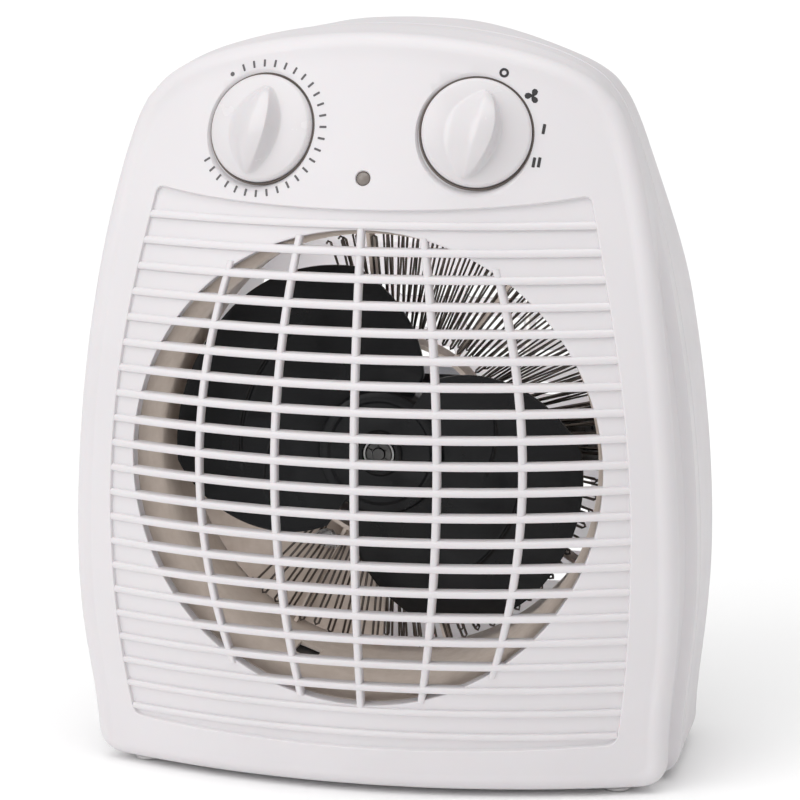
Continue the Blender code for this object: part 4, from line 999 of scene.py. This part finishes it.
def fan():
    place = facing_front(FAN_HUB_FRONT)
    length = FAN_HUB_LENGTH
    rim = FAN_HUB_RADIUS
    hub = in_mm((5.8, 0.4), (6.8, 0.6), (7.4, 0.2), (8, -0.9))
    hub += [(rim - in_from_rim, height) for in_from_rim, height
            in in_mm((4.5, -1.4), (3.6, -0.5), (2.2, -0.5), (0.8, -1.1), (0, -2.6))]
    hub += [(rim, -length), (2.3 * MM, -length), *in_mm((2.3, -1.6), (5.8, -1.6))]
    blades = []
    for turn in BLADE_TURNS:
        blade = placed("blade", blade_mesh(turn))
        edge = blade.modifiers.new("edge", "BEVEL")
        edge.width = 0.6 * MM
        edge.segments = 2
        edge.angle_limit = math.radians(60)
        blades.append(applied(blade))
    mesh = combined(turned(hub, place, 96, ring=True), ("UNION", blades))
    add_object("fan", mesh, BLACK, ["fan_blade"], "fan", 35)
    ring = in_mm((5.3, 0), (5.25, 0.35), (5.0, 0.5), (4.7, 0.4), (4.55, 0), (4.55, -1.2), (5.3, -1.2))
    add_object("fan_clip_rim", turned(ring, place, 72, ring=True), STEEL, body="fan")
    cap = in_mm((4.4, 0), (4.1, 0.25), (3.6, 0.15), (2.3, 0.15), (2.3, -1.2), (4.4, -1.2))
    prong = rounded_rectangle(0.7 * MM, 1.6 * MM, 0.2 * MM, 2, 0, 3.2 * MM)
    prongs = [prism(prong, -0.5 * MM, 1 * MM, place @ turn_z(60 * k)) for k in range(6)]
    mesh = combined(turned(cap, place, 48, ring=True), ("DIFFERENCE", prongs))
    add_object("fan_clip_plate", mesh, DARK_STEEL, ["fan_clip"], "fan")


# Duct and element

WIRE_INNER, WIRE_OUTER = 38.5 * MM, 72 * MM
WIRE_START, WIRE_SWEEP = 226, 242
BOARD_SPAN = (150, 266)
WINDOW_ANGLE = 250
WINDOW_DEPTH = 43.4 * MM
DUCT_POST_RADIUS = 86 * MM
DUCT_POST_ANGLES = (38, 142, 218, 322)
ELEMENT_HUB, ELEMENT_REACH = 34 * MM, 74.5 * MM
SPOKE_ANGLES = (242, 285, 328, 11, 54, 97)
END_LOOPS, LOOP_POINTS = 9, 15
END_LOOP_RADIUS, END_LOOP_ANGLE, END_LOOP_DEPTH = 38 * MM, 236, 58.4 * MM


def duct_ring(radius, depth=None, behind=0.0):
    """A circle round the fan's axis, at a depth or else along the bow, just behind the rim of the opening."""
    loop = [(x, OPENING_HEIGHT + z) for x, z in circle(radius, 180)]
    return on_face(loop, RIM_DEPTH + 0.3 * MM + behind) if depth is None else at_depth(loop, depth)


def air_duct():
    place = facing_front(DUCT_BACK)
    wall = DUCT_WALL
    throat = DUCT_RADIUS + 0.2 * MM
    flange = DUCT_RADIUS + 5 * MM
    mouth = duct_ring(DUCT_MOUTH, behind=0.2 * MM)
    neck = duct_ring(throat, DUCT_THROAT)
    bell = between(mouth, neck, [i / 8 for i in range(9)])
    rings = [duct_ring(DUCT_MOUTH + 0.3 * MM), *bell, duct_ring(DUCT_RADIUS, DUCT_THROAT + 12 * MM),
             duct_ring(DUCT_RADIUS, DUCT_BACK), duct_ring(flange, DUCT_BACK),
             duct_ring(flange, DUCT_BACK - wall), duct_ring(DUCT_RADIUS + wall, DUCT_BACK - wall),
             duct_ring(throat + wall, DUCT_THROAT),
             duct_ring(DUCT_MOUTH + wall, behind=0.3 * MM), duct_ring(DUCT_MOUTH + wall - 0.3 * MM)]
    lugs, holes = [], []
    lug = rounded_rectangle(14 * MM, 10 * MM, 4 * MM, 6, 84.5 * MM)
    for angle in DUCT_POST_ANGLES:
        turn = place @ turn_z(angle)
        lugs.append(prism(lug, 0.1 * MM, 1.1 * MM, turn))
        holes.append(prism(circle(1.8 * MM, 24, DUCT_POST_RADIUS), -2 * MM, 3 * MM, turn))
    for side in (-1, 1):
        holes.append(prism(circle(1.3 * MM, 16, side * BRIDGE_SCREW_SPREAD), -2 * MM, 3 * MM, place))
    turn = place @ turn_z(WINDOW_ANGLE)
    level = DUCT_BACK - WINDOW_DEPTH
    window = rounded_rectangle(8 * MM, 8 * MM, 1 * MM, 3, DUCT_RADIUS)
    holes.append(prism(window, level - 6 * MM, level + 6 * MM, turn))
    mesh = combined(loft(rings, closed=True), ("UNION", lugs), ("DIFFERENCE", holes))
    add_object("duct", mesh, MICA, ["air_duct"])
    block = rounded_rectangle(3 * MM, 13 * MM, 0.8 * MM, 3, DUCT_RADIUS + 4 * MM)
    add_object("window_stop", prism(block, level - 9 * MM, level + 9 * MM, turn), DARK)


def wire_path(depth, phase, turns):
    """Points of a zig-zag between the hub ring and the rim, with rounded bends."""
    points = []
    count = 2 * turns
    for i in range(count + 1):
        angle = WIRE_START + phase + (WIRE_SWEEP - 2 * phase) * i / count
        wander = 0.35 * MM * math.sin(5.1 * i + depth * 900) + 0.3 * MM * math.sin(1.7 * i)
        outer = i % 2 == 0
        radius = (WIRE_OUTER if outer else WIRE_INNER) + wander
        step = WIRE_SWEEP / count * 0.30
        lean = 0.9 * MM * math.sin(2.3 * i)
        for nudge in (-step, 0, step):
            x, y = polar(radius - (0.7 * MM if outer else -0.7 * MM) * abs(nudge / step), angle + nudge)
            back = lean if nudge == 0 else 0.3 * lean
            points.append(Vector((x, depth_y(depth) + back, OPENING_HEIGHT + y)))
    return points


def tube_mesh(points, radius, sides=6):
    rings = []
    normal = None
    for i, point in enumerate(points):
        ahead = points[min(i + 1, len(points) - 1)] - points[max(i - 1, 0)]
        ahead.normalize()
        if normal is None:
            normal = ahead.orthogonal().normalized()
        normal = (normal - ahead * normal.dot(ahead)).normalized()
        side = ahead.cross(normal)
        rings.append([point + radius * (normal * across + side * up) for across, up in circle(1, sides)])
    mesh = loft(rings)
    mesh.shade_smooth()
    return mesh


def end_loop(number):
    """A loose loop of wire beside the hub."""
    lean = math.radians(205 + 11 * number)
    middle = Vector((*polar(END_LOOP_RADIUS, END_LOOP_ANGLE), 0))
    middle = middle + Vector((math.cos(lean), math.sin(lean), 0)) * 3.4 * MM
    points = []
    for k in range(LOOP_POINTS):
        turn = 2 * math.pi * k / LOOP_POINTS
        along = 3.2 * MM * math.cos(turn)
        aside = 1.1 * MM * math.sin(turn)
        points.append(Vector((middle.x + along * math.cos(lean) - aside * math.sin(lean),
                              depth_y(END_LOOP_DEPTH) - 0.5 * MM * math.sin(turn + number),
                              OPENING_HEIGHT + middle.y + along * math.sin(lean) + aside * math.cos(lean))))
    return tube_mesh(points, 0.26 * MM)


def element():
    circuits = (("wire_low", 61 * MM, 0.0, 56, 0.43 * MM), ("wire_high", 71 * MM, 1.4, 55, 0.38 * MM))
    for name, depth, phase, turns, radius in circuits:
        mesh = tube_mesh(wire_path(depth, phase, turns), radius)
        add_object(name, mesh, WIRE, ["heater_" + name], sharp=None)
    loops = joined([end_loop(number) for number in range(END_LOOPS)])
    add_object("wire_end_loops", loops, STEEL, sharp=None)
    place = facing_front(66 * MM)
    top, bottom = 5.5 * MM, -5 * MM
    rim = ELEMENT_HUB + 1.4 * MM
    ring = [(rim, top), (rim, bottom), (ELEMENT_HUB, bottom), (ELEMENT_HUB, top)]
    spoke = rounded_rectangle(ELEMENT_REACH - ELEMENT_HUB - 0.8 * MM, 1.2 * MM, 0.3 * MM, 2,
                              (ELEMENT_REACH + ELEMENT_HUB) / 2 + 0.4 * MM)
    adds = [prism(spoke, -4 * MM, 4 * MM, place @ turn_z(angle)) for angle in SPOKE_ANGLES]
    start, end = BOARD_SPAN
    angles = [start + (end - start) * i / 40 for i in range(41)]
    fan_board = [polar(ELEMENT_HUB + 0.7 * MM, angle) for angle in angles]
    fan_board += [polar(ELEMENT_REACH, angle) for angle in reversed(angles)]
    adds.append(prism(fan_board, -3.2 * MM, -2 * MM, place))
    mesh = combined(turned(ring, place, 96, ring=True), ("UNION", adds))
    add_object("element_boards", mesh, PALE_MICA, ["element_frame"])


# Fasteners and feet

HEAD_LIFT = 2.3 * MM


def cross_screw(name, node, placement, length):
    """A pan head screw with a cross recess, its head at local height 0 and its shank below."""
    head, shank = 3.0 * MM, 1.4 * MM
    profile = [(0, 0)]
    for i in range(1, 7):
        turn = math.pi / 2 * i / 6
        profile.append((head * math.sin(turn), -0.9 * MM * (1 - math.cos(turn))))
    profile += [(head, -2 * MM), (shank, -2 * MM), (shank, -length + 1 * MM), (0.3 * shank, -length),
                (0, -length)]
    slot = rounded_rectangle(1.15 * head, 0.26 * head, 0.05 * head, 2)
    arms = [prism(slot, -1.1 * MM, 1 * MM, turn_z(degrees)) for degrees in (0, 90)]
    mesh = combined(turned(profile, Matrix(), 40), ("DIFFERENCE", arms))
    mesh.transform(placement)
    add_object(name, mesh, STEEL, [node])


def fasteners():
    backwards = Matrix.Rotation(math.pi, 4, "X")
    names = ("top_left", "top_right", "bottom_left", "bottom_right")
    for label, (x, z) in zip(names, HOUSING_POSTS):
        place = facing_front(BODY_DEPTH - HOUSING_WELL + HEAD_LIFT, x, z) @ backwards
        cross_screw("case_screw_" + label, "housing_screw_" + label, place, 15 * MM)
    for number, angle in enumerate(DUCT_POST_ANGLES, 1):
        x, y = polar(DUCT_POST_RADIUS, angle)
        place = facing_front(DUCT_BACK + HEAD_LIFT, x, OPENING_HEIGHT + y) @ backwards
        cross_screw(f"sleeve_screw_{number}", f"duct_screw_{number}", place, 13 * MM)


def feet():
    profile = in_mm((0, 5.5), (1.6, 5.5), (1.9, 1.5), (3.9, 1.5), (4.4, 1.3), (4.6, 0.9), (4.4, 0.4),
                    (3.9, 0.08), (3.4, 0), (0, 0))
    for name, (x, depth) in FEET.items():
        pad = turned(profile, Matrix.Translation((x * MM, depth_y(depth * MM), 0)), 48)
        add_object(name + "_pad", pad, PALE_RUBBER, [name])


# Finishes of the CAD nodes that stay

FINISHES = {
    "white_plastic": WHITE, "pale_rubber": PALE_RUBBER, "black_plastic": BLACK, "dark_plastic": DARK,
    "rubber": RUBBER, "lamp_amber": LAMP, "ceramic": CERAMIC, "mica": MICA, "resistance_wire": WIRE,
    "lamination": LAMINATION, "copper": COPPER, "brass": BRASS, "lead_insulation": INSULATION, "steel": STEEL,
}
SPECIAL = {"motor_shaft": DARK_STEEL}


def finish_nodes():
    slots = {part["node"]: part["material_slot"] for part in frame["record"]["subparts"]}
    for name, node in frame["nodes"].items():
        node.data.materials.clear()
        node.data.materials.append(SPECIAL.get(name, FINISHES[slots[name]]))
        shade(node.data, 40)


# Stage, lights and camera

FLOOR_GAP = 0.2 * MM
WORLD_COLOR, WORLD_STRENGTH = (1.0, 0.997, 0.995, 1), 0.55
CAMERA_AZIMUTH, CAMERA_ELEVATION, CAMERA_DISTANCE = 12.20, 10.92, 0.950
CAMERA_TARGET = Vector((0.0159, -0.060, 0.1379))
CAMERA_LENS, CAMERA_SENSOR = 133.74, 36


def direction(azimuth, elevation):
    """Unit vector from angles in degrees: azimuth 0 is straight in front, positive towards +X."""
    a, e = math.radians(azimuth), math.radians(elevation)
    return Vector((math.sin(a) * math.cos(e), -math.cos(a) * math.cos(e), math.sin(e)))


def sun(name, azimuth, elevation, strength, softness):
    """A distant soft light from a direction."""
    light = bpy.data.lights.new(name, "SUN")
    light.energy = strength * math.pi
    light.angle = math.radians(softness)
    made = placed(name, light)
    out = direction(azimuth, elevation)
    made.rotation_euler = out.to_track_quat("Z", "Y").to_euler()
    made.location = out


def disc(name, depth, radius, strength):
    """A soft round light inside, facing backwards."""
    light = bpy.data.lights.new(name, "AREA")
    light.shape = "DISK"
    light.size = 2 * radius
    light.energy = strength
    made = placed(name, light)
    made.location = (0, depth_y(depth), OPENING_HEIGHT)
    made.rotation_euler = (math.radians(90), 0, 0)
    made.visible_glossy = False


def stage():
    sheet = mesh_of(lambda body: bmesh.ops.create_grid(body, x_segments=8, y_segments=8, size=40))
    made = placed("floor", sheet)
    made.location = (0, 0, -FLOOR_GAP)
    paper = Nodes("studio_floor", (0.93, 0.93, 0.93), 0.6)
    paper.colors(paper.noise(3, 2), (0.965, 0.965, 0.965), (0.955, 0.955, 0.955))
    made.data.materials.append(paper.material)

    world = bpy.data.worlds.new("studio")
    world.use_nodes = True
    background = world.node_tree.nodes["Background"]
    background.inputs["Color"].default_value = WORLD_COLOR
    background.inputs["Strength"].default_value = WORLD_STRENGTH
    bpy.context.scene.world = world
    bpy.context.scene.view_settings.view_transform = "Standard"

    sun("front_light", -36, 30, 0.33, 46)
    sun("top_light", 4, 76, 0.47, 60)
    disc("duct_light", 17.5 * MM, 68 * MM, 0.055)
    disc("rear_light", 76 * MM, 70 * MM, 0.110)


def camera():
    lens = bpy.data.cameras.new("camera")
    lens.lens = CAMERA_LENS
    lens.sensor_width = CAMERA_SENSOR
    lens.clip_start = 0.01
    made = placed("camera", lens)
    out = direction(CAMERA_AZIMUTH, CAMERA_ELEVATION)
    turn = out.to_track_quat("Z", "Y").to_matrix().to_4x4()
    made.matrix_world = Matrix.Translation(CAMERA_TARGET + CAMERA_DISTANCE * out) @ turn
    bpy.context.scene.camera = made


finish_nodes()
front_moulding()
rear_moulding()
knob("thermostat_cap", -1, THERMOSTAT_POINTS, "thermostat_turn")
knob("selector_cap", 1, SELECTOR_POINTS, "selector_turn")
# Dark rings in the knob gaps: painted shade
knob_gap_shade("knob_gap_shade_left", -1)
knob_gap_shade("knob_gap_shade_right", 1)
spindle("thermostat_spindle", -1, -16, "thermostat_turn")
spindle("selector_spindle", 1, -14, "selector_turn")
dial_marks()
pilot_lamp()
fan()
air_duct()
element()
fasteners()
feet()
stage()
camera()
